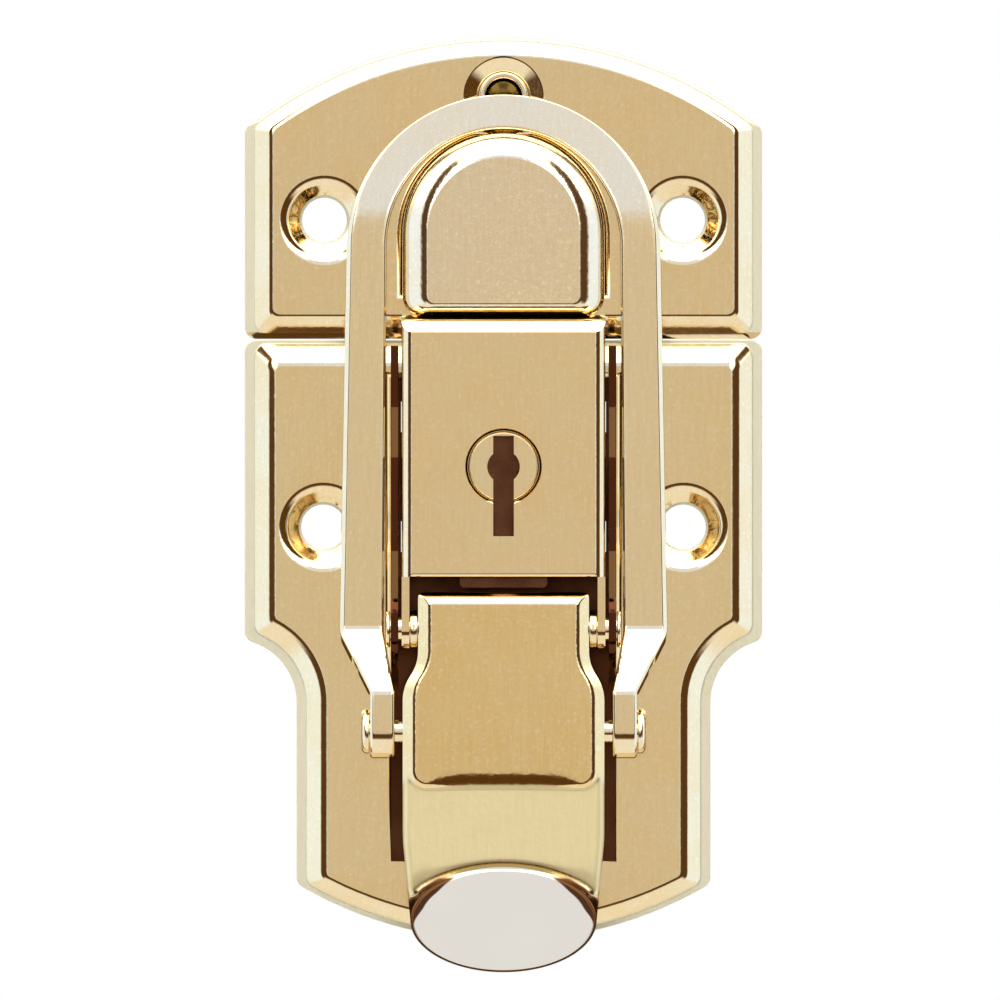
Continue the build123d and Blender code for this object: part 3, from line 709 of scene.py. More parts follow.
@dataclass
class PressedPlate:
    """A pressed plate with a flat rim, a raised field and dished screw holes."""

    piece: Piece
    dishes: tuple[Span, ...]
    rim_depth: float = 0.8 * MM
    field_depth: float = 2.2 * MM
    dish_reach: float = 4.45 * MM
    field_roll: float = 0.66 * MM
    foot_roll: float = 0.17 * MM
    dish_roll: float = 0.6 * MM
    dish_foot_roll: float = 0.12 * MM
    cut_roll: float = 0.14 * MM
    crown_height: float = 41.9 * MM
    crown_dish_height: float = 39.9 * MM
    crown_slope: float = 0.3
    crown_rim_roll: float = 0.34 * MM
    crown_dish_roll: float = 0.12 * MM
    seam_roll: float = 0.34 * MM
    seam: Span = (18.5 * MM, 20.6 * MM)
    wall_root: float = 0.6 * MM
    mouth_roll: float = 0.62 * MM
    mouth_bottom: float = 23.0 * MM
    mouth_top: float = 42.0 * MM

    def in_dish(self, edge: Edge) -> bool:
        """Say whether an edge belongs to a screw dish."""
        middle = (edge.verts[0].co + edge.verts[1].co) / 2
        return any(hypot(middle.x - x, middle.z - z) < self.dish_reach for x, z in self.dishes)

    def in_crown(self, edge: Edge) -> bool:
        """Say whether an edge lies along the strike plate's arched top."""
        first, second = (vertex.co for vertex in edge.verts)
        return first.z + second.z > 2 * self.crown_height and (
            abs(first.x - second.x) > self.crown_slope * (first - second).length
        )

    def in_seam(self, edge: Edge) -> bool:
        """Say whether an edge lies along the seam between the two plates."""
        return any(self.seam[0] < vertex.co.z < self.seam[1] for vertex in edge.verts)

    def field_bend(self, edge: Edge, angle: float) -> bool:
        """Choose the bend round the raised field."""
        return at_depth(edge, self.field_depth) and BENT_ANGLE < angle < CUT_ANGLE and not self.in_dish(edge)

    def dish_rim(self, edge: Edge, angle: float) -> bool:
        """Choose the rims of the screw dishes."""
        low = edge.verts[0].co.z <= self.crown_dish_height
        return low and at_depth(edge, self.field_depth) and self.in_dish(edge)

    def crown_dish(self, edge: Edge, angle: float) -> bool:
        """Choose the rim of the rivet's dish in the arched top."""
        high = edge.verts[0].co.z > self.crown_dish_height
        return high and at_depth(edge, self.field_depth) and self.in_dish(edge)

    def dish_foot(self, edge: Edge, angle: float) -> bool:
        """Choose the feet of the dishes' slopes."""
        return at_depth(edge, self.rim_depth) and self.in_dish(edge)

    def slope_foot(self, edge: Edge, angle: float) -> bool:
        """Choose the foot of the slope that rises to the field."""
        return at_depth(edge, self.rim_depth) and not edge.is_convex and not self.in_dish(edge)

    def open_foot(self, edge: Edge, angle: float) -> bool:
        """Choose the slope's foot away from the seam."""
        return self.slope_foot(edge, angle) and not self.in_seam(edge)

    def seam_foot(self, edge: Edge, angle: float) -> bool:
        """Choose the slope's foot along the seam."""
        return self.slope_foot(edge, angle) and self.in_seam(edge)

    def wall_foot(self, edge: Edge, angle: float) -> bool:
        """Choose the roots of the walls lanced out of the field."""
        return at_depth(edge, self.field_depth) and angle > CUT_ANGLE and not edge.is_convex

    def mouth(self, edge: Edge, angle: float) -> bool:
        """Choose the drawn mouth that the hood comes through."""
        inside = all(self.mouth_bottom < vertex.co.z < self.mouth_top for vertex in edge.verts)
        return inside and at_depth(edge, self.field_depth) and angle > CUT_ANGLE and edge.is_convex

    def cut_edge(self, edge: Edge, angle: float) -> bool:
        """Choose the sheared edges."""
        return angle > CUT_ANGLE and edge.is_convex and not self.in_dish(edge)

    def crown_rim(self, edge: Edge, angle: float) -> bool:
        """Choose the sheared edge of the rim along the arched top."""
        return self.in_crown(edge) and at_depth(edge, self.rim_depth) and self.cut_edge(edge, angle)

    def build(self, shape: Callable[[Mesh], None]) -> bpy.types.Object:
        """Copy the plate and roll its bends and its cut edges.

        Args:
            shape: Bends the bare copy before its edges are rolled.

        Returns:
            The finished plate.
        """
        bm = merged_copy(self.piece.node)
        shape(bm)
        for width, segments, chosen, clamped in (
            (self.field_roll, 8, self.field_bend, False),
            (self.dish_roll, 8, self.dish_rim, False),
            (self.crown_dish_roll, 6, self.crown_dish, False),
            (self.foot_roll, 4, self.open_foot, False),
            (self.seam_roll, 4, self.seam_foot, True),
            (self.crown_rim_roll, 5, self.crown_rim, False),
            (self.mouth_roll, 6, self.mouth, False),
            (self.dish_foot_roll, 3, self.dish_foot, True),
            (self.wall_root, 6, self.wall_foot, True),
            (self.cut_roll, 3, self.cut_edge, True),
        ):
            roll_edges(bm, width, segments, chosen, clamped)
        return self.piece.place(bm)


@dataclass
class DrawnHood:
    """The domed hook: a drawn shell on the foot and tail that hold it behind the plate."""

    half_width: float = 10.5 * MM
    top: float = 41.05 * MM
    bottom: float = 22.0 * MM
    front: float = 9.0 * MM
    foot: float = 2.19 * MM
    sheet: float = 0.8 * MM
    shoulder: float = 3.2 * MM
    lower_shoulder: float = 1.6 * MM
    corner: float = 2.0 * MM
    face_corner: float = 0.9 * MM
    arc_share: float = 0.995
    face_inset: float = 0.012
    first_tilt: float = 13.0
    arc_steps: int = 16
    roll_steps: int = 16

    def outline(self, inset: float, low_inset: float, corner: float) -> list[Vector]:
        """Draw the hood's outline from the front.

        Args:
            inset: How far it is drawn in over the top and the sides.
            low_inset: How far it is drawn in below.
            corner: The radius of the lower corners.

        Returns:
            The outline's points.
        """
        half, top, bottom = self.half_width - inset, self.top - inset, self.bottom + low_inset
        arc = self.arc_share * half
        corners = [(half, bottom, corner), (half, top, arc), (-half, top, arc), (-half, bottom, corner)]
        return rounded_line(corners, self.arc_steps, closed=True)

    def skin(self, inset: float) -> list[list[Vector]]:
        """Lay out one side of the shell from its foot to its face.

        Args:
            inset: How far inside the outer skin it lies.

        Returns:
            The loops in order.
        """
        left_out = 1 - sin(radians(self.first_tilt))
        wide = (self.shoulder - inset) * left_out + inset
        low = (self.lower_shoulder - inset) * left_out + inset
        foot = self.outline(inset, inset, self.corner - inset)
        face = self.outline(wide, low, self.face_corner)
        loops = [[Vector((p.x, -self.foot, p.y)) for p in foot]]
        for step in range(self.roll_steps + 1):
            tilt = radians(90 - (90 - self.first_tilt) * step / self.roll_steps)
            share = (1 - sin(tilt)) / left_out
            loop = []
            for outer, inner in zip(foot, face):
                radius = (outer - inner).length / left_out
                spot = outer.lerp(inner, share)
                depth = self.front - inset - radius * (cos(radians(self.first_tilt)) - cos(tilt))
                loop.append(Vector((spot.x, -depth, spot.y)))
            loops.append(loop)
        middle = Vector((0.0, (self.top + self.bottom) / 2))
        flat = [point.lerp(middle, self.face_inset) for point in face]
        loops.append([Vector((p.x, inset - self.front, p.y)) for p in flat])
        return loops

    def mesh(self) -> Mesh:
        """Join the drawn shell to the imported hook's foot and tail.

        Returns:
            The hook.
        """
        bm = merged_copy("strike_hook")
        cut(bm, (0.0, -self.foot, 0.0), (0.0, -1.0, 0.0), clear=True)
        close_ends(bm)
        shell = lofted(self.skin(self.sheet)[::-1] + self.skin(0.0))
        joined = bpy.data.meshes.new("hood_shell")
        shell.to_mesh(joined)
        shell.free()
        bm.from_mesh(joined)
        bpy.data.meshes.remove(joined)
        return bm


@dataclass
class StrikeAssembly:
    """The lid's side: the pressed strike plate, the drawn hood and its eyelet."""

    screw_x: float = 18.7 * MM
    screw_height: float = 32.05 * MM
    rivet_height: float = 44.9 * MM
    field_roll: float = 0.4 * MM
    foot_roll: float = 0.12 * MM
    lower_rim: float = 20.25 * MM
    lower_edge: float = 19.65 * MM
    lower_edge_reach: float = 25.6 * MM
    lower_edge_front: float = 0.5 * MM
    lower_edge_sink: float = 0.15 * MM
    lower_slope_front: float = 2.1 * MM
    lower_slope_end: float = 23.0 * MM
    lower_slope_lift: float = 0.4 * MM
    slack: float = 0.05 * MM
    tube_radius: float = 2.1 * MM
    tube_wall: float = 0.45 * MM
    lip_radius: float = 2.62 * MM
    lip_thickness: float = 0.34 * MM
    lip_depth: float = 1.74 * MM
    lip_mouth: float = 2.0 * MM
    tail_back: float = 0.6 * MM
    head_reach: float = 0.9 * MM
    head_thickness: float = 0.4 * MM

    def sink_lower_edge(self, bm: Mesh) -> None:
        """Draw back the cut edge along the seam, as the shear leaves it.

        Args:
            bm: The strike plate's copy.
        """
        cut(bm, (0, 0, self.lower_rim), (0, 0, 1))
        for side in (1, -1):
            cut(bm, (side * self.lower_edge_reach, 0, 0), (1, 0, 0))
        for vertex in bm.verts:
            reach = abs(vertex.co.x) < self.lower_edge_reach + self.slack
            if reach and vertex.co.z < self.lower_edge + self.slack and vertex.co.y < -self.lower_edge_front:
                vertex.co.y += self.lower_edge_sink
            if vertex.co.y < -self.lower_slope_front and vertex.co.z < self.lower_slope_end:
                share = (self.lower_slope_end - vertex.co.z) / (self.lower_slope_end - self.lower_rim)
                vertex.co.z += self.lower_slope_lift * share

    def eyelet(self) -> Mesh:
        """Spin the tubular rivet: a rolled lip, its tube and the head behind the hood's tail.

        Returns:
            The rivet.
        """
        bore = self.tube_radius - self.tube_wall
        head = self.tube_radius + self.head_reach
        back = self.tail_back - self.head_thickness
        lip = self.lip_depth + self.lip_thickness
        corners = [
            (0.0, back, 0),
            (head, back, 0.15 * MM),
            (head, self.tail_back, 0),
            (self.tube_radius, self.tail_back, 0),
            (self.tube_radius, self.lip_depth - 0.15 * MM, 0.1 * MM),
            (self.lip_radius, self.lip_depth - 0.02 * MM, 0.1 * MM),
            (self.lip_radius - 0.05 * MM, lip, 0.22 * MM),
            (self.lip_mouth, lip - 0.02 * MM, 0.2 * MM),
            (bore, lip - 0.6 * MM, 0.3 * MM),
            (bore - 0.05 * MM, self.tail_back + 0.4 * MM, 0),
            (0.0, self.tail_back - 0.1 * MM, 0),
        ]
        return spun(rounded_line(corners, 6), 0.0, self.rivet_height)

    def build(self) -> None:
        """Make the strike plate, the hood and the eyelet."""
        dishes = ((-self.screw_x, self.screw_height), (self.screw_x, self.screw_height), (0.0, self.rivet_height))
        plate = Piece("strike_plate_pressed", Body.BASE, "strike_plate", Slot.SHEET, STRIKE_BRASS)
        PressedPlate(plate, dishes, field_roll=self.field_roll, foot_roll=self.foot_roll).build(self.sink_lower_edge)
        Piece("hook_drawn", Body.BASE, "strike_hook", Slot.SHEET, HOOD_BRASS).place(DrawnHood().mesh())
        Piece("hook_eyelet", Body.BASE, "hook_rivet", Slot.TRIM, EYELET_BRASS).place(self.eyelet())


@dataclass
class BaseAssembly:
    """The case's side: the pressed base plate with its walls and the plate behind it."""

    screw_x: float = 18.8 * MM
    tail_screw_height: float = -28.5 * MM
    rim_depth: float = 0.8 * MM
    upper_slope_start: float = 17.9 * MM
    upper_slope_end: float = 18.9 * MM
    upper_slope_lift: float = 0.3 * MM
    upper_slope_reach: float = 26.05 * MM
    slack: float = 0.05 * MM

    def lift_upper_slope(self, bm: Mesh) -> None:
        """Lay back the slope along the seam, as the pressing leaves it.

        Args:
            bm: The base plate's copy.
        """
        for vertex in bm.verts:
            level = abs(vertex.co.y + self.rim_depth) < self.slack and abs(vertex.co.x) < self.upper_slope_reach
            if level and self.upper_slope_start < vertex.co.z < self.upper_slope_end + self.slack:
                share = (vertex.co.z - self.upper_slope_start) / (self.upper_slope_end - self.upper_slope_start)
                vertex.co.z += self.upper_slope_lift * share

    def build(self) -> None:
        """Make the base plate and finish the back plate."""
        dishes = ((-self.screw_x, 0.0), (self.screw_x, 0.0), (0.0, self.tail_screw_height))
        plate = Piece("base_plate_pressed", Body.BASE, "base_plate", Slot.SHEET, BASE_BRASS)
        PressedPlate(plate, dishes).build(self.lift_upper_slope)
        keep_node("back_plate", INNER_STEEL_SHADED)


@dataclass
class LockAssembly:
    """The lock: drawn case, turned key rotor, bolt and what carries them."""

    edge_roll: float = 0.14 * MM
    edge_angle: float = 35.0
    front: float = 10.2 * MM
    top: float = 21.7 * MM
    top_roll: float = 0.5 * MM
    bottom: float = -5.2 * MM
    bottom_roll: float = 0.4 * MM
    key_height: float = 6.3 * MM
    key_reach: float = 5.2 * MM
    mouth_radius: float = 3.76 * MM
    mouth_slack: float = 0.05 * MM
    mouth_zone: float = 0.4 * MM
    mouth_sink: float = 0.45 * MM
    disc_rim_radius: float = 3.67 * MM
    disc_zone: float = 0.6 * MM
    disc_roll: float = 0.26 * MM

    def key_distance(self, spot: Vector) -> float:
        """Measure how far a place lies from the key's axis."""
        return hypot(spot.x, spot.z - self.key_height)

    def disc_rim(self, edge: Edge, angle: float) -> bool:
        """Choose the front rim of the key rotor's disc."""
        forward = all(-vertex.co.y > self.front - self.disc_zone for vertex in edge.verts)
        return forward and edge.is_convex and all(self.key_distance(v.co) > self.disc_rim_radius for v in edge.verts)

    def lower_front(self, edge: Edge, angle: float) -> bool:
        """Choose the case's lower front edge."""
        return at_height(edge, self.bottom) and at_depth(edge, self.front) and edge.is_convex

    def upper_back(self, edge: Edge, angle: float) -> bool:
        """Choose the edge above the bevel at the case's top."""
        return at_height(edge, self.top) and all(-vertex.co.y > 0.8 * self.front for vertex in edge.verts)

    def outer_edge(self, edge: Edge, angle: float) -> bool:
        """Choose the case's outer edges, away from the keyhole."""
        clear = self.key_distance((edge.verts[0].co + edge.verts[1].co) / 2) > self.key_reach
        return clear and angle > self.edge_angle and edge.is_convex

    def disc(self) -> Mesh:
        """Copy the key rotor and roll the rim of its disc.

        Returns:
            The rotor.
        """
        bm = merged_copy("key_rotor")
        roll_edges(bm, self.disc_roll, 4, self.disc_rim)
        return bm

    def case(self) -> Mesh:
        """Copy the case, sink the keyhole's rim and roll the outer edges.

        Returns:
            The case.
        """
        bm = merged_copy("lock_case")
        for vertex in bm.verts:
            on_rim = abs(self.key_distance(vertex.co) - self.mouth_radius) < self.mouth_slack
            if on_rim and -self.front < vertex.co.y < self.mouth_zone - self.front:
                vertex.co.y += self.mouth_sink
        roll_edges(bm, self.bottom_roll, 5, self.lower_front, clamped=False)
        roll_edges(bm, self.top_roll, 5, self.upper_back, clamped=False)
        roll_edges(bm, self.edge_roll, 3, self.outer_edge)
        return bm

    def build(self) -> None:
        """Make the case and the rotor, and finish the works inside."""
        Piece("lock_case_drawn", Body.BASE, "lock_case", Slot.SHEET, CASE_BRASS).place(self.case())
        Piece("key_rotor_turned", Body.KEY_ROTOR, "key_rotor", Slot.TRIM, TRIM_BRASS).place(self.disc())
        keep_node("lock_bolt", BOLT_STEEL_SHADED)
        for node in ("mechanism_plate", "bolt_guides", "guide_rivets", "spring_rivet"):
            keep_node(node, INNER_STEEL_SHADED)
        keep_node("drag_spring", BLUED_STEEL)


@dataclass
class LeverAssembly:
    """The pressed lever with its panel and thumb tab, and the pins that ride with it or carry it.

    The flange line holds depths and heights in millimetres, down the flanges' back edges.
    """

    top: float = -6.8 * MM
    top_roll: float = 1.7 * MM
    top_corner: float = 0.6 * MM
    lip_back: float = 7.7 * MM
    sheet: float = 0.8 * MM
    face: float = 10.2 * MM
    panel_rise: float = 0.4 * MM
    panel_inset: float = 1.2 * MM
    flank_rise: float = 0.05 * MM
    flank_lean: float = 35.0
    flank_bend: float = 0.18 * MM
    flank_zone: float = 2.6 * MM
    body_bend: float = 0.08 * MM
    edge_roll: float = 0.9 * MM
    edge_slope: float = 80.0
    panel_sag_start: float = -25.1 * MM
    panel_sag_slope: float = 20.0
    panel_sag_taper: float = 1.3 * MM
    panel_sag_reach: float = 8.1 * MM
    panel_sag_radius: float = 6.6 * MM
    panel_end: float = -26.75 * MM
    panel_corner: float = 1.3 * MM
    first_tilt: float = 15.0
    neck_half: float = 8.9 * MM
    body_half: float = 10.5 * MM
    flare_start: float = -14.32 * MM
    flare_end: float = -16.68 * MM
    flare_radius: float = 4.6 * MM
    taper_start: float = -32.5 * MM
    taper_radius: float = 8 * MM
    fall_start: float = -37.7 * MM
    fall_radius: float = 2 * MM
    fall_slope: float = 50.0
    tab_middle: float = -40.9 * MM
    tab_half: float = 9.7 * MM
    tab_half_height: float = 5.4 * MM
    tab_top: float = -35.5 * MM
    tab_lean: float = 13.1
    tab_edge: float = 0.28 * MM
    tab_bend: float = 0.03 * MM
    tab_wall_slope: float = 58.0
    tab_thickness: float = 0.9 * MM
    groove: float = 0.09 * MM
    groove_more: float = 0.24 * MM
    groove_middle: float = 0.45 * MM
    groove_width: float = 0.34 * MM
    groove_spread: float = 0.42 * MM
    groove_reach: float = 8.6 * MM
    wall_thins_from: float = -34 * MM
    wall_thins_by: float = 0.16
    wall_thinnest: float = 0.04 * MM
    flange: tuple[Span, ...] = (
        (7.7, -6.8),
        (7.7, -7.6),
        (5.9, -8.55),
        (5.9, -12.75),
        (1.75, -18.6),
        (1.75, -33.2),
        (7.0, -36.5),
        (9.3, -37.8),
    )
    across_steps: int = 34
    zone_steps: int = 24
    side_steps: int = 4
    roll_steps: int = 12
    tip_steps: int = 26

    def __post_init__(self) -> None:
        """Work out the outline and the line of the flanges' back edges."""
        corners = [
            (self.neck_half, self.top, 0),
            (self.neck_half, self.flare_start, self.flare_radius),
            (self.body_half, self.flare_end, self.flare_radius),
            (self.body_half, self.taper_start, self.taper_radius),
            (self.tab_half, self.tab_middle, 0),
        ]
        self.outline = rounded_line(corners, 10)
        self.flange_back = [Vector((depth * MM, height * MM)) for depth, height in self.flange]

    def half_width(self, z: float) -> float:
        """Read the outline.

        Args:
            z: The height.

        Returns:
            Half the lever's width there.
        """
        if z < self.tab_middle:
            return self.tab_half * sqrt(max(1 - ((z - self.tab_middle) / self.tab_half_height) ** 2, 0.0))
        corner = round_drop(z - (self.top - self.top_corner), self.top_corner)
        return follow(self.outline, z) - min(corner, self.top_corner)

    def tab_distance(self, x: float, z: float) -> float:
        """Measure a place against the thumb tab's ellipse.

        Args:
            x: The place across.
            z: The place's height.

        Returns:
            How far it lies outside, negative inside.
        """
        across = x / self.tab_half
        along = (z - self.tab_middle) / self.tab_half_height
        reach = max(hypot(across, along), 1e-3)
        slope = hypot(across / self.tab_half, along / self.tab_half_height) / reach
        return (reach - 1) / max(slope, 1.0)

    def body_depth(self, x: float, z: float) -> float:
        """Give the depth of the front skin without the thumb tab.

        Args:
            x: The place across.
            z: The place's height.

        Returns:
            The depth in front of the plates' back.
        """
        half = self.half_width(z)
        raised = self.face + self.panel_rise
        taper = self.panel_sag_taper * (abs(x) / self.panel_sag_reach) ** 6
        panel = raised - round_drop(self.panel_sag_start - taper - z, self.panel_sag_radius, self.panel_sag_slope)
        beside = abs(x) - half + self.panel_inset
        below = self.panel_end - z
        past = max(beside, below)
        if min(beside, below) > -self.panel_corner:
            past = hypot(beside + self.panel_corner, below + self.panel_corner) - self.panel_corner
        flank = raised + self.flank_rise - tan(radians(self.flank_lean)) * past
        body = self.face - round_drop(abs(x) - half + self.edge_roll, self.edge_roll, self.edge_slope)
        body -= round_drop(self.fall_start - z, self.fall_radius, self.fall_slope)
        skin = smooth_max(smooth_min(panel, flank, self.flank_bend), body, self.body_bend)
        roll = self.top_roll * (1 - sin(radians(self.first_tilt)))
        return min(skin, raised - round_drop(z - self.top + roll, self.top_roll, 89, self.first_tilt))

    def depth(self, x: float, z: float) -> float:
        """Give the depth of the lever's front skin.

        Args:
            x: The place across.
            z: The place's height.

        Returns:
            The depth in front of the plates' back.
        """
        skin = self.body_depth(x, z)
        if z > self.taper_start:
            return skin
        outside = self.tab_distance(x, z)
        tab = self.face + tan(radians(self.tab_lean)) * (self.tab_top - z)
        tab -= round_drop(outside + self.tab_edge, self.tab_edge, self.tab_wall_slope)
        corner = min(abs(x) / self.groove_reach, 1.0) ** 4
        spread = self.groove_width + self.groove_spread * corner
        crease = exp(-(((outside - self.groove_middle - self.groove_width * corner) / spread) ** 2))
        return smooth_max(skin - (self.groove + self.groove_more * corner) * crease, tab, self.tab_bend)

    def heights(self) -> list[Span]:
        """List the sections from top to tip, closer together where the skin bends.

        Returns:
            Each section's height and how far its sheet leans back, in degrees.
        """
        turn = [90.0 - (90.0 - self.first_tilt) * step / self.roll_steps for step in range(self.roll_steps + 1)]
        rows = [(self.top - self.top_roll * (1 - sin(radians(lean))), lean) for lean in turn]
        start = rows[-1][0] - 0.06 * MM
        for end, steps in (
            (-12.9 * MM, 6),
            (-18.1 * MM, 18),
            (-24.9 * MM, 6),
            (-26.6 * MM, 16),
            (-27.6 * MM, 18),
            (-34.0 * MM, 6),
            (-38.8 * MM, 60),
            (self.tab_middle, 12),
        ):
            rows += [(start + (end - start) * step / steps, 0.0) for step in range(steps)]
            start = end
        for step in range(self.tip_steps + 1):
            rows.append((self.tab_middle - self.tab_half_height * sin(pi / 2 * step / self.tip_steps), 0.0))
        return rows

    def section(self, z: float, lean: float, lip: bool) -> list[Vector]:
        """Lay out one closed section through the sheet.

        Args:
            z: The section's height on the front skin.
            lean: How far the sheet is rolled back there, in degrees.
            lip: Whether this is the back edge of the rolled top.

        Returns:
            The section's points, round its outside and back along its inside.
        """
        half = self.half_width(z)
        zone = min(self.flank_zone, half / 2)
        offsets = [half - (half - zone) * step / self.across_steps for step in range(self.across_steps)]
        offsets += [zone * (1 - sin(pi / 2 * step / self.zone_steps)) for step in range(self.zone_steps + 1)]
        side = [half - offset for offset in offsets]
        front = [self.lip_back if lip else self.depth(x, z) for x in side]
        thinned = self.sheet - self.wall_thins_by * max(self.wall_thins_from - z, 0.0)
        inner_half = max(half - max(thinned, self.wall_thinnest), 0.0)
        thick = self.sheet if z > self.tab_top else self.tab_thickness
        edge = front[-1]
        back = min(follow(self.flange_back, z), edge - thick)
        if lean > 0:
            back = min(self.lip_back, edge)
        if z < self.flange_back[-1][1]:
            back = edge - thick
        outer = list(zip(side, front))
        outer += [(half, edge + (back - edge) * step / self.side_steps) for step in range(1, self.side_steps + 1)]
        inner = []
        for step in range(self.across_steps + 1):
            x = inner_half * sin(pi / 2 * step / self.across_steps)
            skin = self.lip_back if lip else self.depth(x, z) - thick * cos(radians(lean))
            inner.append((x, max(min(skin, max(front)), back)))
        low = z - self.sheet * sin(radians(lean))
        loop = [Vector((-x, -depth, z)) for x, depth in reversed(outer)]
        loop += [Vector((x, -depth, z)) for x, depth in outer[1:]]
        loop.append(Vector((inner_half, -back, low)))
        loop += [Vector((x, -depth, low)) for x, depth in reversed(inner)]
        loop += [Vector((-x, -depth, low)) for x, depth in inner[1:]]
        loop.append(Vector((-inner_half, -back, low)))
        return loop

    def build(self) -> None:
        """Loft the lever and finish its pins and washers."""
        rows = self.heights()
        sections = [self.section(rows[0][0], rows[0][1], True)]
        sections += [self.section(z, lean, False) for z, lean in rows]
        Piece("lever_pressed", Body.LEVER, "lever", Slot.SHEET, LEVER_BRASS, 65.0).place(lofted(sections))
        for node, name, body, roll in (
            ("bail_pin", "bail_pin_headed", Body.LEVER, 0.1),
            ("lever_pin", "lever_pin_headed", Body.BASE, 0.12),
            ("pivot_washers", "pivot_washers_turned", Body.BASE, 0.12),
        ):
            bm = merged_copy(node)
            roll_edges(bm, roll * MM, 3, lambda edge, angle: angle > 50 and edge.is_convex)
            Piece(name, body, node, Slot.TRIM, TRIM_BRASS).place(bm)


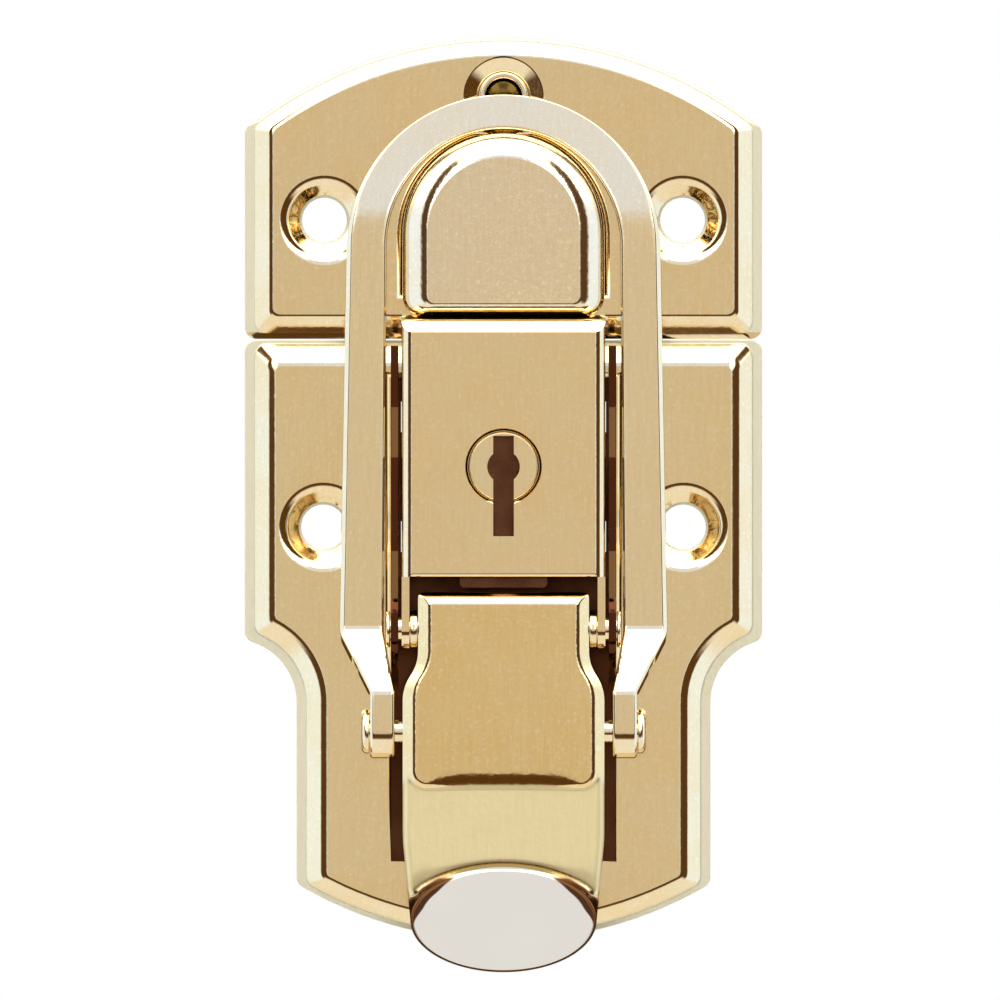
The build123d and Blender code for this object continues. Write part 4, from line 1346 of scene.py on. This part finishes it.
@dataclass
class BailAssembly:
    """The bail: one flat strip bent to an arch, with ramps and rolled eyes.

    A chamfer is the cut along the strip's outer front edge. The ramp holds depth, height and
    radius of the two bends between the legs and the tongues.
    """

    thickness: float = 1.5 * MM
    inner_radius: float = 12.2 * MM
    inner_top: float = 41.5 * MM
    outer_radius: float = 16.4 * MM
    outer_top: float = 45.1 * MM
    leg_inner: float = 12.5 * MM
    leg_outer: float = 17.1 * MM
    tongue_inner: float = 11.35 * MM
    tongue_outer: float = 13.9 * MM
    elbow: float = -10.8 * MM
    elbow_radius: float = 1.6 * MM
    inner_elbow_radius: float = 1.2 * MM
    tongue_top: float = -17.1 * MM
    tongue_radius: float = 1.2 * MM
    ramp: tuple[tuple[float, float, float], ...] = (
        (7.35 * MM, -13.5 * MM, 1.4 * MM),
        (7.7 * MM, -14.6 * MM, 1.4 * MM),
    )
    below_pin: float = 6 * MM
    leg_top: float = 27.0 * MM
    leg_front: float = 5.2 * MM
    arch_bend: float = 33.5 * MM
    arch_bend_reach: float = 2.6 * MM
    arch_lean: float = 5.24
    pin_radius: float = 1.3 * MM
    eye_turn: float = 292.0
    arch_chamfer: float = 0.08 * MM
    leg_chamfer: float = 0.48 * MM
    tongue_chamfer: float = 0.24 * MM
    chamfer_turns: Span = (38.0, 88.0)
    chamfer_drop: Span = (1 * MM, 3 * MM)
    chamfer_lean: float = 0.9
    inner_round: float = 0.26 * MM
    back_round: float = 0.15 * MM
    round_steps: int = 4
    across_steps: int = 10
    arch_steps: int = 30
    eye_steps: int = 40

    def leg_depth(self, z: float) -> float:
        """Give the front's depth on a leg or the arch, which leans back above its bend.

        Args:
            z: The height.

        Returns:
            The depth.
        """
        past = z - self.arch_bend
        reach = self.arch_bend_reach
        bent = past if past > reach else (past + reach) ** 2 / (4 * reach) if past > -reach else 0.0
        return self.leg_front - tan(radians(self.arch_lean)) * bent

    def section(self, width: float, chamfer: float) -> list[Vector]:
        """Lay out the strip's section.

        Args:
            width: The strip's width there.
            chamfer: How far its outer front edge is cut.

        Returns:
            Points across from its inner edge, and back from its front.
        """
        corners = [
            (0.0, 0.0, self.inner_round),
            (width - chamfer, 0.0, 0.5 * chamfer),
            (width, -self.chamfer_lean * chamfer, 0.5 * chamfer),
            (width, -self.thickness, self.back_round),
            (0.0, -self.thickness, self.back_round),
        ]
        first = self.round_steps + 1
        loop = rounded_line(corners, self.round_steps, closed=True)
        between = [loop[first - 1].lerp(loop[first], step / self.across_steps) for step in range(1, self.across_steps)]
        return loop[:first] + between + loop[first:]

    def arch_sections(self) -> list[list[Vector]]:
        """Lay out the right half of the arch.

        Returns:
            The sections from its crown to the top of the leg.
        """
        sections = []
        first, last = self.chamfer_turns
        for step in range(self.arch_steps + 1):
            turn = 90.0 * step / self.arch_steps
            spoke = Vector((sin(radians(turn)), cos(radians(turn))))
            inner = spoke * self.inner_radius + Vector((0.0, self.inner_top - self.inner_radius))
            outer = spoke * self.outer_radius + Vector((0.0, self.outer_top - self.outer_radius))
            width = (outer - inner).length
            share = min(max((turn - first) / (last - first), 0.0), 1.0)
            loop = []
            for across, back in self.section(width, self.arch_chamfer + (self.leg_chamfer - self.arch_chamfer) * share):
                x, z = inner.lerp(outer, across / width)
                loop.append(Vector((x, -self.leg_depth(z) - back, z)))
            sections.append(loop)
        return sections

    def leg_sections(self) -> list[list[Vector]]:
        """Lay out the right leg, its ramp and its rolled eye.

        Returns:
            The sections downwards and round the eye.
        """
        pin_depth, pin_height = joint_place("bail_turn")
        curl = self.pin_radius + self.thickness
        bend, foot = (self.tongue_top, self.tongue_radius), (pin_height - self.below_pin, 0)
        inner_line, outer_line = (
            rounded_line([(radius, top - radius, 0), (leg, self.elbow, elbow), (tongue, *bend), (tongue, *foot)])
            for radius, top, leg, elbow, tongue in (
                (self.inner_radius, self.inner_top, self.leg_inner, self.inner_elbow_radius, self.tongue_inner),
                (self.outer_radius, self.outer_top, self.leg_outer, self.elbow_radius, self.tongue_outer),
            )
        )
        corners = [(self.leg_front, self.leg_top, 0), (self.leg_front, self.elbow, self.elbow_radius), *self.ramp]
        corners += [(pin_depth + curl, self.tongue_top, self.elbow_radius), (pin_depth + curl, pin_height, 0)]
        path = rounded_line(corners, 5)
        straight = len(path)
        for step in range(1, self.eye_steps + 1):
            angle = radians(self.eye_turn * step / self.eye_steps)
            path.append(Vector((pin_depth + curl * cos(angle), pin_height - curl * sin(angle))))
        sections = []
        for place, here in enumerate(path):
            along = (path[min(place + 1, len(path) - 1)] - path[max(place - 1, 0)]).normalized()
            facing = Vector((-along.y, along.x))
            curled = place >= straight - 1
            x_inner = self.tongue_inner if curled else follow(inner_line, here.y)
            x_outer = self.tongue_outer if curled else follow(outer_line, here.y)
            drop = (self.elbow + self.chamfer_drop[0] - here.y) / self.chamfer_drop[1]
            share = 1.0 if curled else min(max(drop, 0.0), 1.0)
            chamfer = self.leg_chamfer + (self.tongue_chamfer - self.leg_chamfer) * share
            loop = []
            for across, back in self.section(x_outer - x_inner, chamfer):
                spot = here + facing * back
                loop.append(Vector((x_inner + across, -spot.x, spot.y)))
            sections.append(loop)
        return sections

    def build(self) -> None:
        """Loft the bail from one eye over the arch to the other."""
        right = self.arch_sections() + self.leg_sections()
        left = [[Vector((-point.x, point.y, point.z)) for point in loop] for loop in right]
        sections = left[:0:-1] + right
        Piece("bail_bent", Body.BAIL, "bail", Slot.STRIP, STRIP_BRASS).place(lofted(sections))


@dataclass
class Studio:
    """White surroundings, a pale floor and the light that the polished brass mirrors.

    The light depends on two angles in degrees: off, how far a direction is from straight at the
    viewer, and clock, its turn about that line, from up over sideways to down. Each span below
    gives the two angles between which one tone takes over from another.
    """

    floor_drop: float = 95 * MM
    floor_half: float = 2.2
    floor_colour: Colour = (0.93, 0.92, 0.90)
    floor_roughness: float = 0.8
    front_tone: Colour = (0.66, 0.595, 0.51)
    front_light: Colour = (0.70, 0.635, 0.55)
    front_patches: float = 22.0
    front_patch_span: Span = (0.35, 0.65)
    card_tone: Colour = (0.80, 0.90, 1.24)
    near_card_off: Band = (3.5, 5, 17, 20)
    near_card_clock: Span = (52, 40)
    far_card_off: Band = (17, 20, 31, 34)
    far_card_clock: Span = (28, 20)
    white_tone: Colour = (2.9, 3.0, 3.3)
    white_off: Span = (4, 7)
    side_tone: Colour = (0.97, 1.15, 1.52)
    side_off: Span = (6, 9)
    side_clock: Span = (52, 76)
    dark_tone: Colour = (0.10, 0.047, 0.012)
    dark_clock: Span = (24, 36)
    dark_start: Band = (30, 92, 52, 10)
    dark_start_fade: Span = (-2, 3)
    dark_end: Band = (30, 92, 70, 46)
    dark_end_fade: Span = (5, -3)
    dark_right_more: Band = (32, 92, 0, 9)
    dark_right: Span = (0.0, 0.1)
    dark_low_off: Span = (9, 13)
    low_tone: Colour = (0.94, 0.94, 0.98)
    low_off: Span = (28, 38)
    low_clock: Span = (118, 140)
    rear_tone: Colour = (0.34, 0.21, 0.09)
    rear_off: Span = (104, 116)
    back_off: Span = (140, 158)
    crest_tone: Colour = (0.12, 0.07, 0.025)
    crest_off: Band = (110, 116, 150, 160)
    crest_clock: Span = (75, 55)

    def build(self) -> None:
        """Make the world, the floor and the view settings."""
        bpy.context.scene.view_settings.view_transform = "Standard"
        self.light()
        self.floor()

    def light(self) -> None:
        """Light the scene by direction: mid tone ahead, white above and dark bands beside."""
        world = bpy.data.worlds.new("light_tent")
        bpy.context.scene.world = world
        world.use_nodes = True
        sheet = NodeSheet(world.node_tree)
        direction = sheet.add("TexCoord").outputs["Generated"]
        across, ahead, up = sheet.add("SeparateXYZ", Vector=direction).outputs
        off = sheet.maths("DEGREES", sheet.maths("ARCCOSINE", sheet.maths("MULTIPLY", ahead, -1.0)))
        clock = sheet.maths("DEGREES", sheet.maths("ARCTAN2", sheet.maths("ABSOLUTE", across), up))

        patches = sheet.noise(direction, self.front_patches, 2.0)
        front = sheet.mix(sheet.rise(patches, *self.front_patch_span), self.front_tone, self.front_light)
        above = sheet.mix(sheet.rise(off, *self.white_off), front, self.white_tone)
        near = sheet.maths("MULTIPLY", sheet.between(off, self.near_card_off), sheet.rise(clock, *self.near_card_clock))
        far = sheet.maths("MULTIPLY", sheet.between(off, self.far_card_off), sheet.rise(clock, *self.far_card_clock))
        above = sheet.mix(sheet.maths("ADD", near, far), above, self.card_tone)
        beside = sheet.mix(sheet.rise(off, *self.side_off), front, self.side_tone)
        ring = sheet.mix(sheet.rise(clock, *self.side_clock), above, beside)
        more = sheet.maths("MULTIPLY", sheet.rise(across, *self.dark_right), sheet.ramp(clock, self.dark_right_more))
        past_start = sheet.maths("SUBTRACT", off, sheet.ramp(clock, self.dark_start))
        past_end = sheet.maths("SUBTRACT", off, sheet.maths("ADD", sheet.ramp(clock, self.dark_end), more))
        started, ended = sheet.rise(past_start, *self.dark_start_fade), sheet.rise(past_end, *self.dark_end_fade)
        dark = sheet.maths("MULTIPLY", sheet.maths("MULTIPLY", started, ended), sheet.rise(clock, *self.dark_clock))
        ring = sheet.mix(dark, ring, self.dark_tone)
        below = sheet.mix(sheet.rise(off, *self.dark_low_off), front, self.dark_tone)
        below = sheet.mix(sheet.rise(off, *self.low_off), below, self.low_tone)
        crest = sheet.maths("MULTIPLY", sheet.between(off, self.crest_off), sheet.rise(clock, *self.crest_clock))
        for share, tone in (
            (sheet.rise(clock, *self.low_clock), below),
            (sheet.rise(off, *self.rear_off), self.rear_tone),
            (sheet.rise(off, *self.back_off), self.front_tone),
            (crest, self.crest_tone),
            (sheet.add("LightPath").outputs["Is Camera Ray"], (1.0, 1.0, 1.0)),
        ):
            ring = sheet.mix(share, ring, tone)
        background = sheet.add("Background", Color=ring, Strength=1.0)
        sheet.add("OutputWorld", Surface=background.outputs[0])

    def floor(self) -> None:
        """Lay the pale floor well below the latch."""
        bm = bmesh.new()
        bmesh.ops.create_grid(bm, x_segments=1, y_segments=1, size=self.floor_half)
        bmesh.ops.translate(bm, vec=(0.0, 0.0, cad_box[0][2] - self.floor_drop), verts=bm.verts[:])
        mesh = bpy.data.meshes.new("floor")
        bm.to_mesh(mesh)
        bm.free()
        floor = bpy.data.objects.new("floor", mesh)
        bpy.context.scene.collection.objects.link(floor)
        material = bpy.data.materials.new("pale_floor")
        material.use_nodes = True
        sheet = NodeSheet(material.node_tree)
        shader = sheet.add("BsdfPrincipled", Base_Color=self.floor_colour, Roughness=self.floor_roughness)
        sheet.add("OutputMaterial", Surface=shader.outputs[0])
        mesh.materials.append(material)
        floor.visible_glossy = False


@dataclass
class PhotoCamera:
    """The camera of the photograph: straight on, far away, with a long lens."""

    distance: float = 3.0
    frame_width: float = 104.45 * MM
    centre_x: float = -0.366 * MM
    centre_z: float = 2.82 * MM
    sensor: float = 36.0

    def build(self) -> None:
        """Set up the camera."""
        data = bpy.data.cameras.new("photo_camera")
        data.sensor_width = self.sensor
        data.lens = self.sensor * self.distance / self.frame_width
        data.clip_end = 4 * self.distance
        camera = bpy.data.objects.new("photo_camera", data)
        camera.location = (self.centre_x, -self.distance, self.centre_z)
        camera.rotation_euler = (pi / 2, 0.0, 0.0)
        bpy.context.scene.collection.objects.link(camera)
        bpy.context.scene.camera = camera


def main() -> None:
    """Build the studio and every piece of the latch."""
    logging.basicConfig(level=logging.INFO, format="%(name)s %(message)s")
    Studio().build()
    PhotoCamera().build()
    for assembly in (StrikeAssembly(), BaseAssembly(), LockAssembly(), LeverAssembly(), BailAssembly()):
        assembly.build()


if __name__ == "__main__":
    main()
